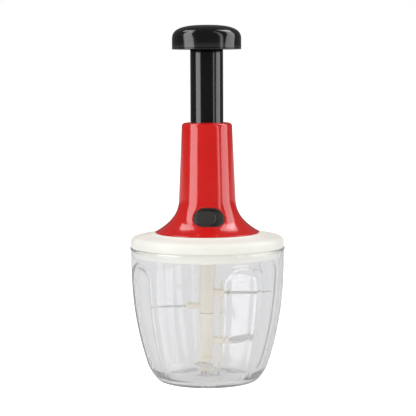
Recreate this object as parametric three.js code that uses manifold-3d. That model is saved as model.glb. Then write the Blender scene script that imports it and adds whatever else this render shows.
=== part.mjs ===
// Hand-press vegetable chopper: a clear bowl, a lid with a flared tower, and a sprung plunger
// whose spiral strip turns a column of four blades. Millimetres, +Z up, front towards -Y.
// The origin is the centre of the bowl's foot, on the surface that the bowl stands on.

import * as THREE from 'three';
import { mergeVertices } from 'three/addons/utils/BufferGeometryUtils.js';
import Module from 'manifold-3d';

const wasm = await Module();
wasm.setup();

// Bowl
const BOWL_HEIGHT = 108.5;
const BOWL_MOUTH_R = 61.8;
const BOWL_UPRIGHT_BAND = 8;
const BOWL_UPRIGHT_Z = BOWL_HEIGHT - BOWL_UPRIGHT_BAND;
const BOWL_DRAW = 17.8;
const BOWL_DRAW_POWER = 2.25;
const BOWL_WALL = 2.5;
const BOWL_FLOOR_Z = 3.4;
const BOWL_CORNER = 12;
const BOWL_INNER_CORNER = 8.8;
const FOOT_STEP_IN = 5.1;
const FOOT_OUTER_R = BOWL_MOUTH_R - BOWL_DRAW - FOOT_STEP_IN;
const FOOT_BAND = 7.5;
const FOOT_INNER_R = FOOT_OUTER_R - FOOT_BAND;
const FOOT_HOLLOW = 1.2;
const RIM_PROUD = 0.7;
const RIM_LIP_HEIGHT = 2.4;
const RIM_EDGE = 0.5;

// Arched panels pressed into the bowl's wall
const PANEL_COUNT = 4;
const PANEL_FIRST_ANGLE = -63.6;
const PANEL_RECESS = 1.3;
const PANEL_FLAT_HALF_ANGLE = 14.4;
const PANEL_BEVEL_HALF_ANGLE = 19;
const PANEL_HEAD = 25.9;
const PANEL_SPRING_Z = BOWL_HEIGHT - PANEL_HEAD;
const PANEL_ARCH_RISE = 11.8;
const PANEL_BEVEL_RISE = 3.6;
const PANEL_BEVEL_STEP = 1.4;
const PANEL_FLAT_SHARES = [0, 0.52, 0.85, 1];
const PANEL_BEVEL_SHARES = [1];
const PANEL_PLAIN_SHARES = [0.35, 0.7, 1];
const BOWL_WALL_ROW_SHARES = [0.17, 0.38, 0.66];
const BOWL_CORNER_SHARES = [0.35, 0.7];
const BOWL_CORNER_REACH_SHARE = 0.6;

// Boss in the bowl's floor and its steel pin
const BOSS_R = 6.2;
const BOSS_TOP_R = 5.2;
const BOSS_FILLET = 2.4;
const BOSS_HEIGHT = 4.2;
const BOSS_TOP_Z = BOWL_FLOOR_Z + BOSS_HEIGHT;
const PIN_R = 2;
const PIN_FIT = 0.1;
const PIN_SEAT_WEB = 1.6;
const PIN_SEAT_Z = FOOT_HOLLOW + PIN_SEAT_WEB;
const PIN_RISE = 12.4;
const PIN_TOP_Z = BOSS_TOP_Z + PIN_RISE;
const PIN_TIP = 0.8;

// Lid
const LID_OVERHANG = 0.2;
const LID_R = BOWL_MOUTH_R + LID_OVERHANG;
const LID_EDGE_R = 4.5;
const LID_EDGE_SWEEP = 78;
const LID_RIM_FACE = 4.3;
const LID_HEIGHT = 11.5;
const LID_TOP_Z = BOWL_HEIGHT + LID_HEIGHT;
const LID_LAND_MARGIN = 0.8;
const LID_WALL = 2.4;
const SKIRT_CLEARANCE = 0.6;
const SKIRT_WALL = 1.9;
const SKIRT_DROP = 7.2;
const SKIRT_EDGE = 0.5;
const BEARING_BORE_R = 8.6;
const BEARING_WALL = 2.4;
const BEARING_LENGTH = 14;
const BEARING_BOTTOM_Z = LID_TOP_Z - BEARING_LENGTH;

// Heights that the stroke sets
const STROKE = 57;
const TUBE_LANDING = 10;
const TUBE_BOTTOM_Z = LID_TOP_Z + TUBE_LANDING + STROKE;
const TUBE_TUCK = 20;
const TOWER_TOP_Z = TUBE_BOTTOM_Z + TUBE_TUCK;
const KNOB_LANDING = 12;
const TUBE_TOP_Z = TOWER_TOP_Z + STROKE + KNOB_LANDING;

// Plunger
const TUBE_R = 13.2;
const TUBE_WALL = 3.1;
const TUBE_BORE_CLEARANCE = 0.3;
const TUBE_FLANGE_STEP = 2.6;
const TUBE_FLANGE_R = TUBE_R + TUBE_FLANGE_STEP;
const TUBE_FLANGE_HEIGHT = 3.7;
const TUBE_SOCKET_WALL = 2.3;
const TUBE_SOCKET_DEPTH = 7.4;
const NUT_HEIGHT = 7;
const NUT_FIT = 0.15;

// Guide sleeve inside the tower
const SLEEVE_RUN_CLEARANCE = 0.4;
const SLEEVE_BORE_R = TUBE_FLANGE_R + SLEEVE_RUN_CLEARANCE;
const SLEEVE_WALL = 1.2;
const SLEEVE_HEAD_GAP = 6.6;
const SLEEVE_FLANGE_STEP = 4.1;
const SLEEVE_FLANGE_R = SLEEVE_BORE_R + SLEEVE_WALL + SLEEVE_FLANGE_STEP;
const SLEEVE_FLANGE_HEIGHT = 1.6;

// Tower
const TOWER_WALL = 2.4;
const TOWER_SLEEVE_GAP = 0.5;
const SLEEVE_TOP_Z = TOWER_TOP_Z - TOWER_WALL - SLEEVE_HEAD_GAP;
const TOWER_SHOULDER_R = SLEEVE_BORE_R + SLEEVE_WALL + TOWER_SLEEVE_GAP + TOWER_WALL;
const TOWER_TAPER = 3.8;
const TOWER_SPREAD = 19.3;
const TOWER_BASE_R = TOWER_SHOULDER_R + TOWER_TAPER + TOWER_SPREAD;
const LID_LAND_R = TOWER_BASE_R + LID_LAND_MARGIN;
const TOWER_FLARE_HEIGHT = 28;
const TOWER_FLARE_POWER = 2.55;
const TOWER_FOOT_LIP = 0.8;
const TOWER_EDGE_R = 2;
const COLLAR_WALL = 2;
const COLLAR_STOP_GAP = 0.4;
const COLLAR_BOTTOM_Z = TUBE_BOTTOM_Z + TUBE_FLANGE_HEIGHT + COLLAR_STOP_GAP;
const TOWER_FLARE_SHARES = [0.05, 0.13, 0.23, 0.36, 0.52, 0.72, 1];
const TOWER_INNER_SHARES = [0.13, 0.3, 0.55, 1];

// Screws that hold the tower to the lid, from below
const SCREW_COUNT = 4;
const SCREW_R = 1.4;
const SCREW_LENGTH = 8.5;
const SCREW_HEAD_R = 2.8;
const SCREW_HEAD_HEIGHT = 1.9;
const SCREW_HOLE_CLEARANCE = 0.3;
const SCREW_BOSS_R = 3;
const SCREW_BOSS_HEIGHT = 9;
const SCREW_BOSS_FIT = 0.1;
const SCREW_BOSS_TOP_Z = LID_TOP_Z + SCREW_BOSS_HEIGHT;
const SCREW_BOSS_INSET = 1.55;
const SCREW_CIRCLE_R = towerInnerRadius(SCREW_BOSS_TOP_Z) - SCREW_BOSS_INSET;

// Palm knob
const KNOB_R = 27.75;
const KNOB_RISE = 11.9;
const KNOB_TOP_Z = TUBE_TOP_Z + KNOB_RISE;
const KNOB_SKIRT = 6.4;
const KNOB_BOTTOM_Z = TUBE_TOP_Z - KNOB_SKIRT;
const KNOB_SIDE_DROP = 1;
const KNOB_SIDE_Z = TUBE_TOP_Z - KNOB_SIDE_DROP;
const KNOB_ROUND_POWER = 2.8;
const KNOB_WALL = 2.6;
const KNOB_EDGE = 0.6;
const KNOB_PLUG_DEPTH = 2.7;
const KNOB_PLUG_BOTTOM_Z = TUBE_TOP_Z - KNOB_PLUG_DEPTH;
const KNOB_PLUG_FIT = 0.2;
const KNOB_SEAT_STEP = 1.8;
const KNOB_SEAT_R = TUBE_R + KNOB_SEAT_STEP;
const KNOB_SEAT_GAP = 0.3;
const KNOB_DOME_SHARES = [1, 0.985, 0.95, 0.88, 0.77, 0.6, 0.36, 0];
const UNDERPLATE_THICKNESS = 1.6;
const UNDERPLATE_DROP = 1.4;
const UNDERPLATE_INSET = 0.9;
const UNDERPLATE_LIP_HEIGHT = 2.2;
const UNDERPLATE_LIP_WALL = 1.4;
const UNDERPLATE_GAP = 0.3;

// Spiral strip, its hub and its cap
const SPINDLE_TURNS = 2;
const SPIRAL_PITCH = STROKE / SPINDLE_TURNS;
const STRIP_WIDTH = 9;
const STRIP_THICKNESS = 2;
const STRIP_TUCK = 7;
const STRIP_BOTTOM_Z = LID_TOP_Z - STRIP_TUCK;
const STRIP_RISE = 12.4;
const STRIP_TOP_Z = TUBE_BOTTOM_Z + STRIP_RISE;
const STRIP_STEPS_PER_TURN = 24;
const STRIP_SEAT_FIT = 0.15;
const STRIP_RUN_CLEARANCE = 0.3;
const STRIP_ACROSS_SHARES = [-1, -0.35, 0.35, 1];
const SPINDLE_CAP_CLEARANCE = 1.5;
const SPINDLE_CAP_R = TUBE_R - TUBE_WALL - SPINDLE_CAP_CLEARANCE;
const SPINDLE_CAP_SEAT = 2.4;
const SPINDLE_CAP_BOTTOM_Z = STRIP_TOP_Z - SPINDLE_CAP_SEAT;
const SPINDLE_CAP_HEIGHT = 4;
const SPINDLE_CAP_TOP_Z = SPINDLE_CAP_BOTTOM_Z + SPINDLE_CAP_HEIGHT;
const SPINDLE_CAP_PEG_HEIGHT = 3;
const HUB_R = 7.05;
const HUB_REACH = 10;
const HUB_BOTTOM_Z = BEARING_BOTTOM_Z - HUB_REACH;
const JOURNAL_CLEARANCE = 0.3;
const HUB_JOURNAL_R = BEARING_BORE_R - JOURNAL_CLEARANCE;
const HUB_FLANGE_R = 12.5;
const HUB_FLANGE_GAP = 0.3;
const HUB_FLANGE_HEIGHT = 2.2;
const HUB_EDGE = 0.5;
const WASHER_THICKNESS = 1;
const CLIP_THICKNESS = 0.8;
const CLIP_GAP = 0.3;
const CLIP_R = 10;
const CLIP_GROOVE_DEPTH = 0.9;
const CLIP_MOUTH_SHARE = 0.7;

// Return spring inside the plunger tube
const SPRING_WIRE = 1.2;
const SPRING_MEAN_R = SPINDLE_CAP_R - SPRING_WIRE;
const SPINDLE_CAP_PEG_CLEARANCE = 1;
const SPINDLE_CAP_PEG_R = SPRING_MEAN_R - SPRING_WIRE / 2 - SPINDLE_CAP_PEG_CLEARANCE;
const SPRING_COILS = 8;
const SPRING_END_TURNS = 1;
const SPRING_END_PITCH = 1.8;
const SPRING_SEAT_GAP = 0.3;
const SPRING_STEPS_PER_TURN = 9;
const SPRING_SIDES = 5;

// Blade column
const COLUMN_R = HUB_R;
const COLUMN_LOWER_R = 6.6;
const COLUMN_BOSS_GAP = 0.3;
const COLUMN_BOTTOM_Z = BOSS_TOP_Z + COLUMN_BOSS_GAP;
const COLUMN_SEAM_Z = 54.6;
const COLUMN_SEAM_GAP = 0.3;
const COLUMN_HUB_GAP = 0.3;
const COLUMN_FOOT_R = 7.9;
const COLUMN_FOOT_HEIGHT = 2.4;
const COLUMN_EDGE = 0.5;
const COLUMN_COLLAR_HEIGHT = 3.2;
const PIN_RUN_CLEARANCE = 0.2;
const SPIGOT_FLATS = 8;
const SPIGOT_HEIGHT = 12.2;
const SPIGOT_CLEARANCE = 0.2;
const JOINT_FLATS = 6.6;
const JOINT_HEIGHT = 8;

// Blades and the arms that hold them
const ARM_REACH = 17.8;
const ARM_ROOT_HALF_WIDTH = 5.4;
const ARM_TIP_HALF_WIDTH = 4.9;
const ARM_THICKNESS = 4.2;
const ARM_CORNER = 1.6;
const ARM_EDGE = 0.5;
const BLADE_THICKNESS = 0.9;
const BLADE_ROOT_X = 8.6;
const BLADE_ROOT_HALF_WIDTH = 3.6;
const BLADE_TIP_HALF_WIDTH = 0.7;
const BLADE_GRIND = 2.2;
const BLADE_SLOT_CLEARANCE = 0.15;
const BLADE_STEPS = 11;
const BLADE_A_Z = 71.7;
const BLADE_A_WALL_GAP = 7.4;
const BLADE_A_SWEEP = 13;
const BLADE_A_BELLY = 5.6;
const BLADE_A_LIFT = 0;
const BLADE_A_ANGLE = -14;
const BLADE_B_Z = 60;
const BLADE_B_WALL_GAP = 9.7;
const BLADE_B_SWEEP = 14;
const BLADE_B_BELLY = 5.6;
const BLADE_B_LIFT = 1.2;
const BLADE_B_ANGLE = 178;
const BLADE_C_Z = 32.4;
const BLADE_C_WALL_GAP = 12.6;
const BLADE_C_SWEEP = 9;
const BLADE_C_BELLY = 5.4;
const BLADE_C_LIFT = 5.2;
const BLADE_C_ANGLE = -8;
const BLADE_D_Z = 16.6;
const BLADE_D_WALL_GAP = 11.1;
const BLADE_D_SWEEP = 18;
const BLADE_D_BELLY = 7;
const BLADE_D_LIFT = 0.8;
const BLADE_D_ANGLE = -104;

// Lock in the tower's front
const LOCK_TILT = 26;
const LOCK_BELOW_LATCH = 1.2;
const LOCK_SIDE_SHIFT = 1.2;
const LOCK_WIDTH = 24.9;
const LOCK_HEIGHT = 16.6;
const LOCK_TRAVEL = 5.4;
const BEZEL_FIT = 0.15;
const BEZEL_RIM = 0.8;
const BEZEL_FLOOR = 1.2;
const BEZEL_SINK = 0.2;
const BUTTON_GAP = 0.25;
const BUTTON_HEIGHT = 2.2;
const BUTTON_EDGE = 0.7;
const BUTTON_STEM_WIDTH = 5;
const BUTTON_STEM_HEIGHT = 3.2;
const BUTTON_STEM_RISE = 1.65;
const BUTTON_SLOT_CLEARANCE = 0.35;
const LATCH_FLANGE_GAP = 0.5;
const LATCH_Z = TUBE_BOTTOM_Z - STROKE + TUBE_FLANGE_HEIGHT + LATCH_FLANGE_GAP;
const LOCK_CENTRE_Z = LATCH_Z - LOCK_BELOW_LATCH;
const LATCH_THICKNESS = 2.6;
const LATCH_SLEEVE_GAP = 0.6;
const LATCH_BAR_DEPTH = 2.2;
const LATCH_TUBE_GAP = 0.3;
const LATCH_TONGUE_WIDTH = 4.5;
const LATCH_TONGUE_GAP = 0.9;
const LATCH_RIGHT_REACH = 3;
const LATCH_CORNER_IN = 6.2;
const LATCH_CORNER_BACK = 3.6;
const LATCH_SLOT_CLEARANCE = 0.5;
const LATCH_STEM_GAP = 0.2;
const LOCK_STANDOFF = 3.5;

// Latch plan: where the tongue stands at rest, measured from the tower's axis
const TONGUE_Y = TUBE_R + LATCH_TUBE_GAP;
const TONGUE_RIGHT_X = Math.sqrt(TUBE_FLANGE_R ** 2 - TONGUE_Y ** 2) + LATCH_TONGUE_GAP;
const TONGUE_LEFT_X = TONGUE_RIGHT_X + LATCH_TONGUE_WIDTH;
const LATCH_BACK_Y = SLEEVE_BORE_R + SLEEVE_WALL + LATCH_SLEEVE_GAP;
const LATCH_FRONT_Y = LATCH_BACK_Y + LATCH_BAR_DEPTH;
const LOCK_FLOOR_Y = LATCH_FRONT_Y + LOCK_STANDOFF;

// Cuts run past the faces that they open by this much
const OVERRUN = 2;

// Faces round a turned piece
const ROUND_LARGE = 40;
const ROUND_MEDIUM = 24;
const ROUND_SMALL = 14;
const ROUND_SCREW = 8;
const ARC_STEPS = 3;
const MERGE_SHARE = 1e-6;

// Finishes
const CLEAR = { color: 0xe6ebec, roughness: 0.06, metalness: 0, transparent: true, opacity: 0.35 };
const CREAM = { color: 0xe9e4d8, roughness: 0.35, metalness: 0 };
const LID_WHITE = { color: 0xf0eee6, roughness: 0.3, metalness: 0 };
const RED = { color: 0xc9201b, roughness: 0.18, metalness: 0 };
const BLACK = { color: 0x18181a, roughness: 0.2, metalness: 0 };
const BLACK_INNER = { color: 0x2b2b2d, roughness: 0.5, metalness: 0 };
const DARK_GREY = { color: 0x423c3a, roughness: 0.5, metalness: 0 };
const STEEL = { color: 0xb9bcc0, roughness: 0.25, metalness: 1 };

const degrees = THREE.MathUtils.degToRad;

// Geometry helpers

// A bare closed mesh from any geometry: shared corners merged, empty triangles dropped, faces out.
function closedMesh(geometry) {
  const bare = new THREE.BufferGeometry();
  bare.setAttribute('position', geometry.getAttribute('position'));
  if (geometry.index) bare.setIndex(geometry.index);
  bare.computeBoundingSphere();
  const merged = mergeVertices(bare, bare.boundingSphere.radius * MERGE_SHARE);
  const position = merged.getAttribute('position');
  const index = merged.index.array;
  const kept = [];
  const [a, b, c] = [new THREE.Vector3(), new THREE.Vector3(), new THREE.Vector3()];
  let volume = 0;
  for (let i = 0; i < index.length; i += 3) {
    const [p, q, r] = [index[i], index[i + 1], index[i + 2]];
    if (p === q || q === r || r === p) continue;
    kept.push(p, q, r);
    a.fromBufferAttribute(position, p);
    b.fromBufferAttribute(position, q);
    c.fromBufferAttribute(position, r);
    volume += a.dot(b.cross(c));
  }
  if (volume < 0) kept.reverse();
  merged.setIndex(kept);
  return merged;
}

function solidOf(geometry) {
  const mesh = closedMesh(geometry);
  const vertProperties = new Float32Array(mesh.getAttribute('position').array);
  const triVerts = new Uint32Array(mesh.index.array);
  return new wasm.Manifold(new wasm.Mesh({ numProp: 3, vertProperties, triVerts }));
}

function geometryOf(solid) {
  const mesh = solid.getMesh();
  const geometry = new THREE.BufferGeometry();
  geometry.setAttribute('position', new THREE.BufferAttribute(mesh.vertProperties, mesh.numProp));
  geometry.setIndex(new THREE.BufferAttribute(mesh.triVerts, 1));
  return geometry;
}

function join(first, ...others) {
  return geometryOf(others.reduce((body, other) => body.add(solidOf(other)), solidOf(first)));
}

function cut(first, ...tools) {
  return geometryOf(tools.reduce((body, tool) => body.subtract(solidOf(tool)), solidOf(first)));
}

function common(first, second) {
  return geometryOf(solidOf(first).intersect(solidOf(second)));
}

// Points [radius, height] of an arc about a centre, from one angle to another in degrees.
function arc(radius, height, size, from, to, steps = ARC_STEPS) {
  return Array.from({ length: steps + 1 }, (_, i) => {
    const angle = degrees(from + (to - from) * i / steps);
    return [radius + size * Math.cos(angle), height + size * Math.sin(angle)];
  });
}

// A solid of revolution about Z from [radius, height] points that start and end on the axis.
function turned(profile, segments) {
  const points = profile.map(([radius, height]) => new THREE.Vector2(radius, height));
  return new THREE.LatheGeometry(points, segments).rotateX(Math.PI / 2);
}

// A ring about Z: the outline clears the axis, so it is closed on itself.
function turnedRing(profile, segments) {
  return turned([...profile, profile[0]], segments);
}

function cylinder(radius, bottom, top, segments) {
  return turned([[0, bottom], [radius, bottom], [radius, top], [0, top]], segments);
}

// A hexagonal bar about Z, measured across its flats.
function hexagon(flats, bottom, top) {
  const corner = flats / 2 / Math.cos(Math.PI / 6);
  return cylinder(corner, bottom, top, 6);
}

// A box from its low corner to its high corner.
function block(low, high) {
  const size = high.map((value, axis) => value - low[axis]);
  const middle = high.map((value, axis) => (value + low[axis]) / 2);
  return new THREE.BoxGeometry(...size).translate(...middle);
}

// A closed skin over rings of points with the same count, closed at each end by a flat fan.
function loft(rings) {
  const count = rings[0].length;
  const points = rings.flat();
  const index = [];
  for (let row = 0; row < rings.length - 1; row += 1) {
    for (let i = 0; i < count; i += 1) {
      const next = (i + 1) % count;
      const [a, b] = [row * count + i, row * count + next];
      index.push(a, b, b + count, a, b + count, a + count);
    }
  }
  const last = (rings.length - 1) * count;
  for (let i = 1; i < count - 1; i += 1) {
    index.push(0, i + 1, i);
    index.push(last, last + i, last + i + 1);
  }
  const geometry = new THREE.BufferGeometry().setFromPoints(points);
  geometry.setIndex(index);
  return geometry;
}

// An obround outline about its own centre.
function obround(width, height) {
  const radius = height / 2;
  const straight = width / 2 - radius;
  const shape = new THREE.Shape();
  shape.absarc(straight, 0, radius, -Math.PI / 2, Math.PI / 2);
  shape.absarc(-straight, 0, radius, Math.PI / 2, Math.PI * 3 / 2);
  shape.closePath();
  return shape;
}

function prism(shape, bottom, top, curveSegments = ARC_STEPS * 2) {
  const options = { depth: top - bottom, bevelEnabled: false, curveSegments };
  return new THREE.ExtrudeGeometry(shape, options).translate(0, 0, bottom);
}

// Bowl: a lofted shell whose rows follow the arches of its panels

function bowlRadius(height) {
  const below = Math.max(0, 1 - height / BOWL_UPRIGHT_Z);
  return BOWL_MOUTH_R - BOWL_DRAW * below ** BOWL_DRAW_POWER;
}

// How far the wall leans in for each millimetre down, at a height.
function bowlLean(height) {
  const below = 1 - height / BOWL_UPRIGHT_Z;
  return BOWL_DRAW * BOWL_DRAW_POWER / BOWL_UPRIGHT_Z * below ** (BOWL_DRAW_POWER - 1);
}

// 1 on a panel's flat, 0 beyond its bevel.
function panelDepthShare(offset) {
  const bevel = PANEL_BEVEL_HALF_ANGLE - PANEL_FLAT_HALF_ANGLE;
  return THREE.MathUtils.clamp((PANEL_BEVEL_HALF_ANGLE - Math.abs(offset)) / bevel, 0, 1);
}

function archHeight(offset, halfAngle, rise) {
  const across = Math.min(1, Math.abs(offset) / halfAngle);
  return PANEL_SPRING_Z + rise * Math.sqrt(1 - across * across);
}

// Columns of one panel pitch, as angles from the panel's middle.
function panelColumns() {
  const halfPitch = 180 / PANEL_COUNT;
  const bevel = PANEL_BEVEL_HALF_ANGLE - PANEL_FLAT_HALF_ANGLE;
  const plain = halfPitch - PANEL_BEVEL_HALF_ANGLE;
  const right = [
    ...PANEL_FLAT_SHARES.map((share) => share * PANEL_FLAT_HALF_ANGLE),
    ...PANEL_BEVEL_SHARES.map((share) => PANEL_FLAT_HALF_ANGLE + share * bevel),
    ...PANEL_PLAIN_SHARES.map((share) => PANEL_BEVEL_HALF_ANGLE + share * plain),
  ];
  const left = right.slice(1, -1).reverse().map((offset) => -offset);
  return [...left, ...right];
}

// A point at a share of the way along the curve between two ends that bends to a corner.
function bend(start, corner, end, share) {
  const rest = 1 - share;
  const along = (i) => rest * rest * start[i] + 2 * rest * share * corner[i] + share * share * end[i];
  return [along(0), along(1)];
}

// Rows of the rounded corner between a flat at one height and the wall, foot first.
function cornerRows(flatRadius, flatZ, topZ, inset) {
  const wallR = bowlRadius(topZ) - inset;
  const reach = wallR - bowlLean(topZ) * (topZ - flatZ) - flatRadius;
  const corner = [flatRadius + BOWL_CORNER_REACH_SHARE * reach, flatZ];
  return BOWL_CORNER_SHARES.map((share) => {
    const [radius, height] = bend([flatRadius, flatZ], corner, [wallR, topZ], share);
    return (offset) => [radius - PANEL_RECESS * share * panelDepthShare(offset), height];
  });
}

// Rows of the wall from the corner up to just under the rim.
function wallRows(cornerZ, inset) {
  const recessed = (height) => (offset) => {
    return [bowlRadius(height) - inset - PANEL_RECESS * panelDepthShare(offset), height];
  };
  const plain = PANEL_SPRING_Z - cornerZ;
  const rise = PANEL_ARCH_RISE + PANEL_BEVEL_RISE;
  const insideArch = (offset) => {
    return recessed(archHeight(offset, PANEL_FLAT_HALF_ANGLE, PANEL_ARCH_RISE))(offset);
  };
  const outsideArch = (offset) => {
    const height = archHeight(offset, PANEL_BEVEL_HALF_ANGLE, rise) + PANEL_BEVEL_STEP;
    return [bowlRadius(height) - inset, height];
  };
  return [
    recessed(cornerZ),
    ...BOWL_WALL_ROW_SHARES.map((share) => recessed(cornerZ + share * plain)),
    insideArch,
    outsideArch,
  ];
}

function bowlGeometry() {
  const even = (radius, height) => () => [radius, height];
  const lipZ = BOWL_HEIGHT - RIM_LIP_HEIGHT;
  const innerR = BOWL_MOUTH_R - BOWL_WALL;
  const rimR = BOWL_MOUTH_R + RIM_PROUD;
  const innerCornerZ = BOWL_FLOOR_Z + BOWL_INNER_CORNER;
  const floorR = FOOT_OUTER_R - BOWL_WALL;
  const holeR = PIN_R + PIN_FIT;
  const inner = [
    ...cornerRows(floorR, BOWL_FLOOR_Z, innerCornerZ, BOWL_WALL),
    ...wallRows(innerCornerZ, BOWL_WALL),
  ].reverse();
  const rows = [
    even(FOOT_INNER_R, FOOT_HOLLOW),
    even(FOOT_INNER_R + FOOT_HOLLOW, 0),
    even(FOOT_OUTER_R, 0),
    ...cornerRows(FOOT_OUTER_R, 0, BOWL_CORNER, 0),
    ...wallRows(BOWL_CORNER, 0),
    even(BOWL_MOUTH_R, lipZ),
    even(rimR, lipZ + RIM_PROUD),
    even(rimR, BOWL_HEIGHT - RIM_EDGE),
    even(rimR - RIM_EDGE, BOWL_HEIGHT),
    even(innerR + RIM_EDGE, BOWL_HEIGHT),
    even(innerR, BOWL_HEIGHT - RIM_EDGE),
    ...inner,
    even(floorR, BOWL_FLOOR_Z),
    even(BOSS_R + BOSS_FILLET, BOWL_FLOOR_Z),
    even(BOSS_R, BOWL_FLOOR_Z + BOSS_FILLET / 2),
    even(BOSS_TOP_R, BOSS_TOP_Z),
    even(holeR, BOSS_TOP_Z),
    even(holeR, PIN_SEAT_Z),
  ];
  const columns = [];
  for (let panel = 0; panel < PANEL_COUNT; panel += 1) {
    const middle = PANEL_FIRST_ANGLE + panel * 360 / PANEL_COUNT;
    columns.push(...panelColumns().map((offset) => ({ offset, angle: degrees(middle + offset) })));
  }
  const points = [];
  for (const row of rows) {
    for (const { offset, angle } of columns) {
      const [radius, height] = row(offset);
      points.push(new THREE.Vector3(radius * Math.cos(angle), radius * Math.sin(angle), height));
    }
  }
  const count = columns.length;
  const index = [];
  for (let row = 0; row < rows.length - 1; row += 1) {
    for (let i = 0; i < count; i += 1) {
      const next = (i + 1) % count;
      const [a, b] = [row * count + i, row * count + next];
      index.push(a, b, b + count, a, b + count, a + count);
    }
  }
  const under = points.length;
  points.push(new THREE.Vector3(0, 0, FOOT_HOLLOW), new THREE.Vector3(0, 0, PIN_SEAT_Z));
  const last = (rows.length - 1) * count;
  for (let i = 0; i < count; i += 1) {
    const next = (i + 1) % count;
    index.push(under, next, i, under + 1, last + i, last + next);
  }
  const geometry = new THREE.BufferGeometry().setFromPoints(points);
  geometry.setIndex(index);
  return geometry;
}

function pivotPin() {
  return turned([
    [0, PIN_SEAT_Z], [PIN_R, PIN_SEAT_Z], [PIN_R, PIN_TOP_Z - PIN_TIP],
    [PIN_R - PIN_TIP, PIN_TOP_Z], [0, PIN_TOP_Z],
  ], ROUND_SMALL);
}

// Lid

function screwAngles() {
  return Array.from({ length: SCREW_COUNT }, (_, i) => degrees(360 / SCREW_COUNT * (i + 0.5)));
}

function atScrew(geometry, angle) {
  return geometry.translate(SCREW_CIRCLE_R * Math.cos(angle), SCREW_CIRCLE_R * Math.sin(angle), 0);
}

function lidGeometry() {
  const skirtR = BOWL_MOUTH_R - BOWL_WALL - SKIRT_CLEARANCE;
  const skirtBottom = BOWL_HEIGHT - SKIRT_DROP;
  const shoulderZ = BOWL_HEIGHT + LID_RIM_FACE;
  const edgeR = LID_R - LID_EDGE_R;
  const ceilingZ = LID_TOP_Z - LID_WALL;
  const bearingR = BEARING_BORE_R + BEARING_WALL;
  const profile = [
    [LID_R - SKIRT_EDGE, BOWL_HEIGHT], [LID_R, BOWL_HEIGHT + SKIRT_EDGE],
    ...arc(edgeR, shoulderZ, LID_EDGE_R, 0, LID_EDGE_SWEEP),
    [LID_LAND_R, LID_TOP_Z], [BEARING_BORE_R, LID_TOP_Z],
    [BEARING_BORE_R, BEARING_BOTTOM_Z], [bearingR, BEARING_BOTTOM_Z], [bearingR, ceilingZ],
    [LID_LAND_R - LID_WALL, ceilingZ], [edgeR - LID_WALL, shoulderZ + LID_EDGE_R - LID_WALL],
    [skirtR - SKIRT_WALL, shoulderZ], [skirtR - SKIRT_WALL, skirtBottom],
    [skirtR - SKIRT_EDGE, skirtBottom], [skirtR, skirtBottom + SKIRT_EDGE], [skirtR, BOWL_HEIGHT],
  ];
  const hole = SCREW_R + SCREW_HOLE_CLEARANCE;
  const holes = screwAngles().map((angle) => {
    return atScrew(cylinder(hole, ceilingZ - OVERRUN, LID_TOP_Z + OVERRUN, ROUND_SCREW), angle);
  });
  return cut(turnedRing(profile, ROUND_LARGE), ...holes);
}

function towerScrew(angle) {
  const seat = LID_TOP_Z - LID_WALL;
  const bottom = seat - SCREW_HEAD_HEIGHT;
  const profile = [
    [0, bottom], [SCREW_HEAD_R / 2, bottom],
    ...arc(SCREW_HEAD_R / 2, bottom + SCREW_HEAD_R / 2, SCREW_HEAD_R / 2, -90, 0, 3),
    [SCREW_HEAD_R, seat], [SCREW_R, seat], [SCREW_R, seat + SCREW_LENGTH - SCREW_R],
    [0, seat + SCREW_LENGTH],
  ];
  return atScrew(turned(profile, ROUND_SCREW), angle);
}

// Tower: a column that flares like a bell, open below, with a guide collar hung from its top

function columnRadius(height) {
  const run = TOWER_TOP_Z - LID_TOP_Z;
  return TOWER_SHOULDER_R + TOWER_TAPER * (TOWER_TOP_Z - height) / run;
}

function towerRadius(height) {
  const share = Math.max(0, 1 - (height - LID_TOP_Z) / TOWER_FLARE_HEIGHT);
  return columnRadius(height) + TOWER_SPREAD * share ** TOWER_FLARE_POWER;
}

// The wall measured along the radius, so that it keeps its thickness where the bell flares.
function towerWallAcross(height) {
  const share = Math.max(0, 1 - (height - LID_TOP_Z) / TOWER_FLARE_HEIGHT);
  const steepness = TOWER_SPREAD * TOWER_FLARE_POWER / TOWER_FLARE_HEIGHT;
  return TOWER_WALL * Math.hypot(1, steepness * share ** (TOWER_FLARE_POWER - 1));
}

function towerInnerRadius(height) {
  return towerRadius(height) - towerWallAcross(height);
}

// The outside of the tower as a full body, drawn in by a margin.
function towerBody(margin) {
  const edgeZ = TOWER_TOP_Z - TOWER_EDGE_R;
  const outside = TOWER_FLARE_SHARES.map((share) => {
    const height = LID_TOP_Z + TOWER_FOOT_LIP + share * (TOWER_FLARE_HEIGHT - TOWER_FOOT_LIP);
    return [towerRadius(height) - margin, height];
  });
  return [
    [towerRadius(LID_TOP_Z + TOWER_FOOT_LIP) - margin, LID_TOP_Z],
    [towerRadius(LID_TOP_Z + TOWER_FOOT_LIP) - margin, LID_TOP_Z + TOWER_FOOT_LIP],
    ...outside,
    ...arc(columnRadius(edgeZ) - TOWER_EDGE_R - margin, edgeZ, TOWER_EDGE_R, 0, 90),
  ];
}

// Places a shape drawn on the lock's face: x to the right, y up the face, z out of the tower.
function onLockFace(geometry) {
  return geometry.rotateX(degrees(90 - LOCK_TILT)).translate(LOCK_SIDE_SHIFT, -LOCK_FLOOR_Y, LOCK_CENTRE_Z);
}

function lockOpening() {
  const shape = obround(LOCK_WIDTH, LOCK_HEIGHT);
  return onLockFace(prism(shape, -BEZEL_FLOOR - OVERRUN * 2, TOWER_FLARE_HEIGHT));
}

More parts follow.
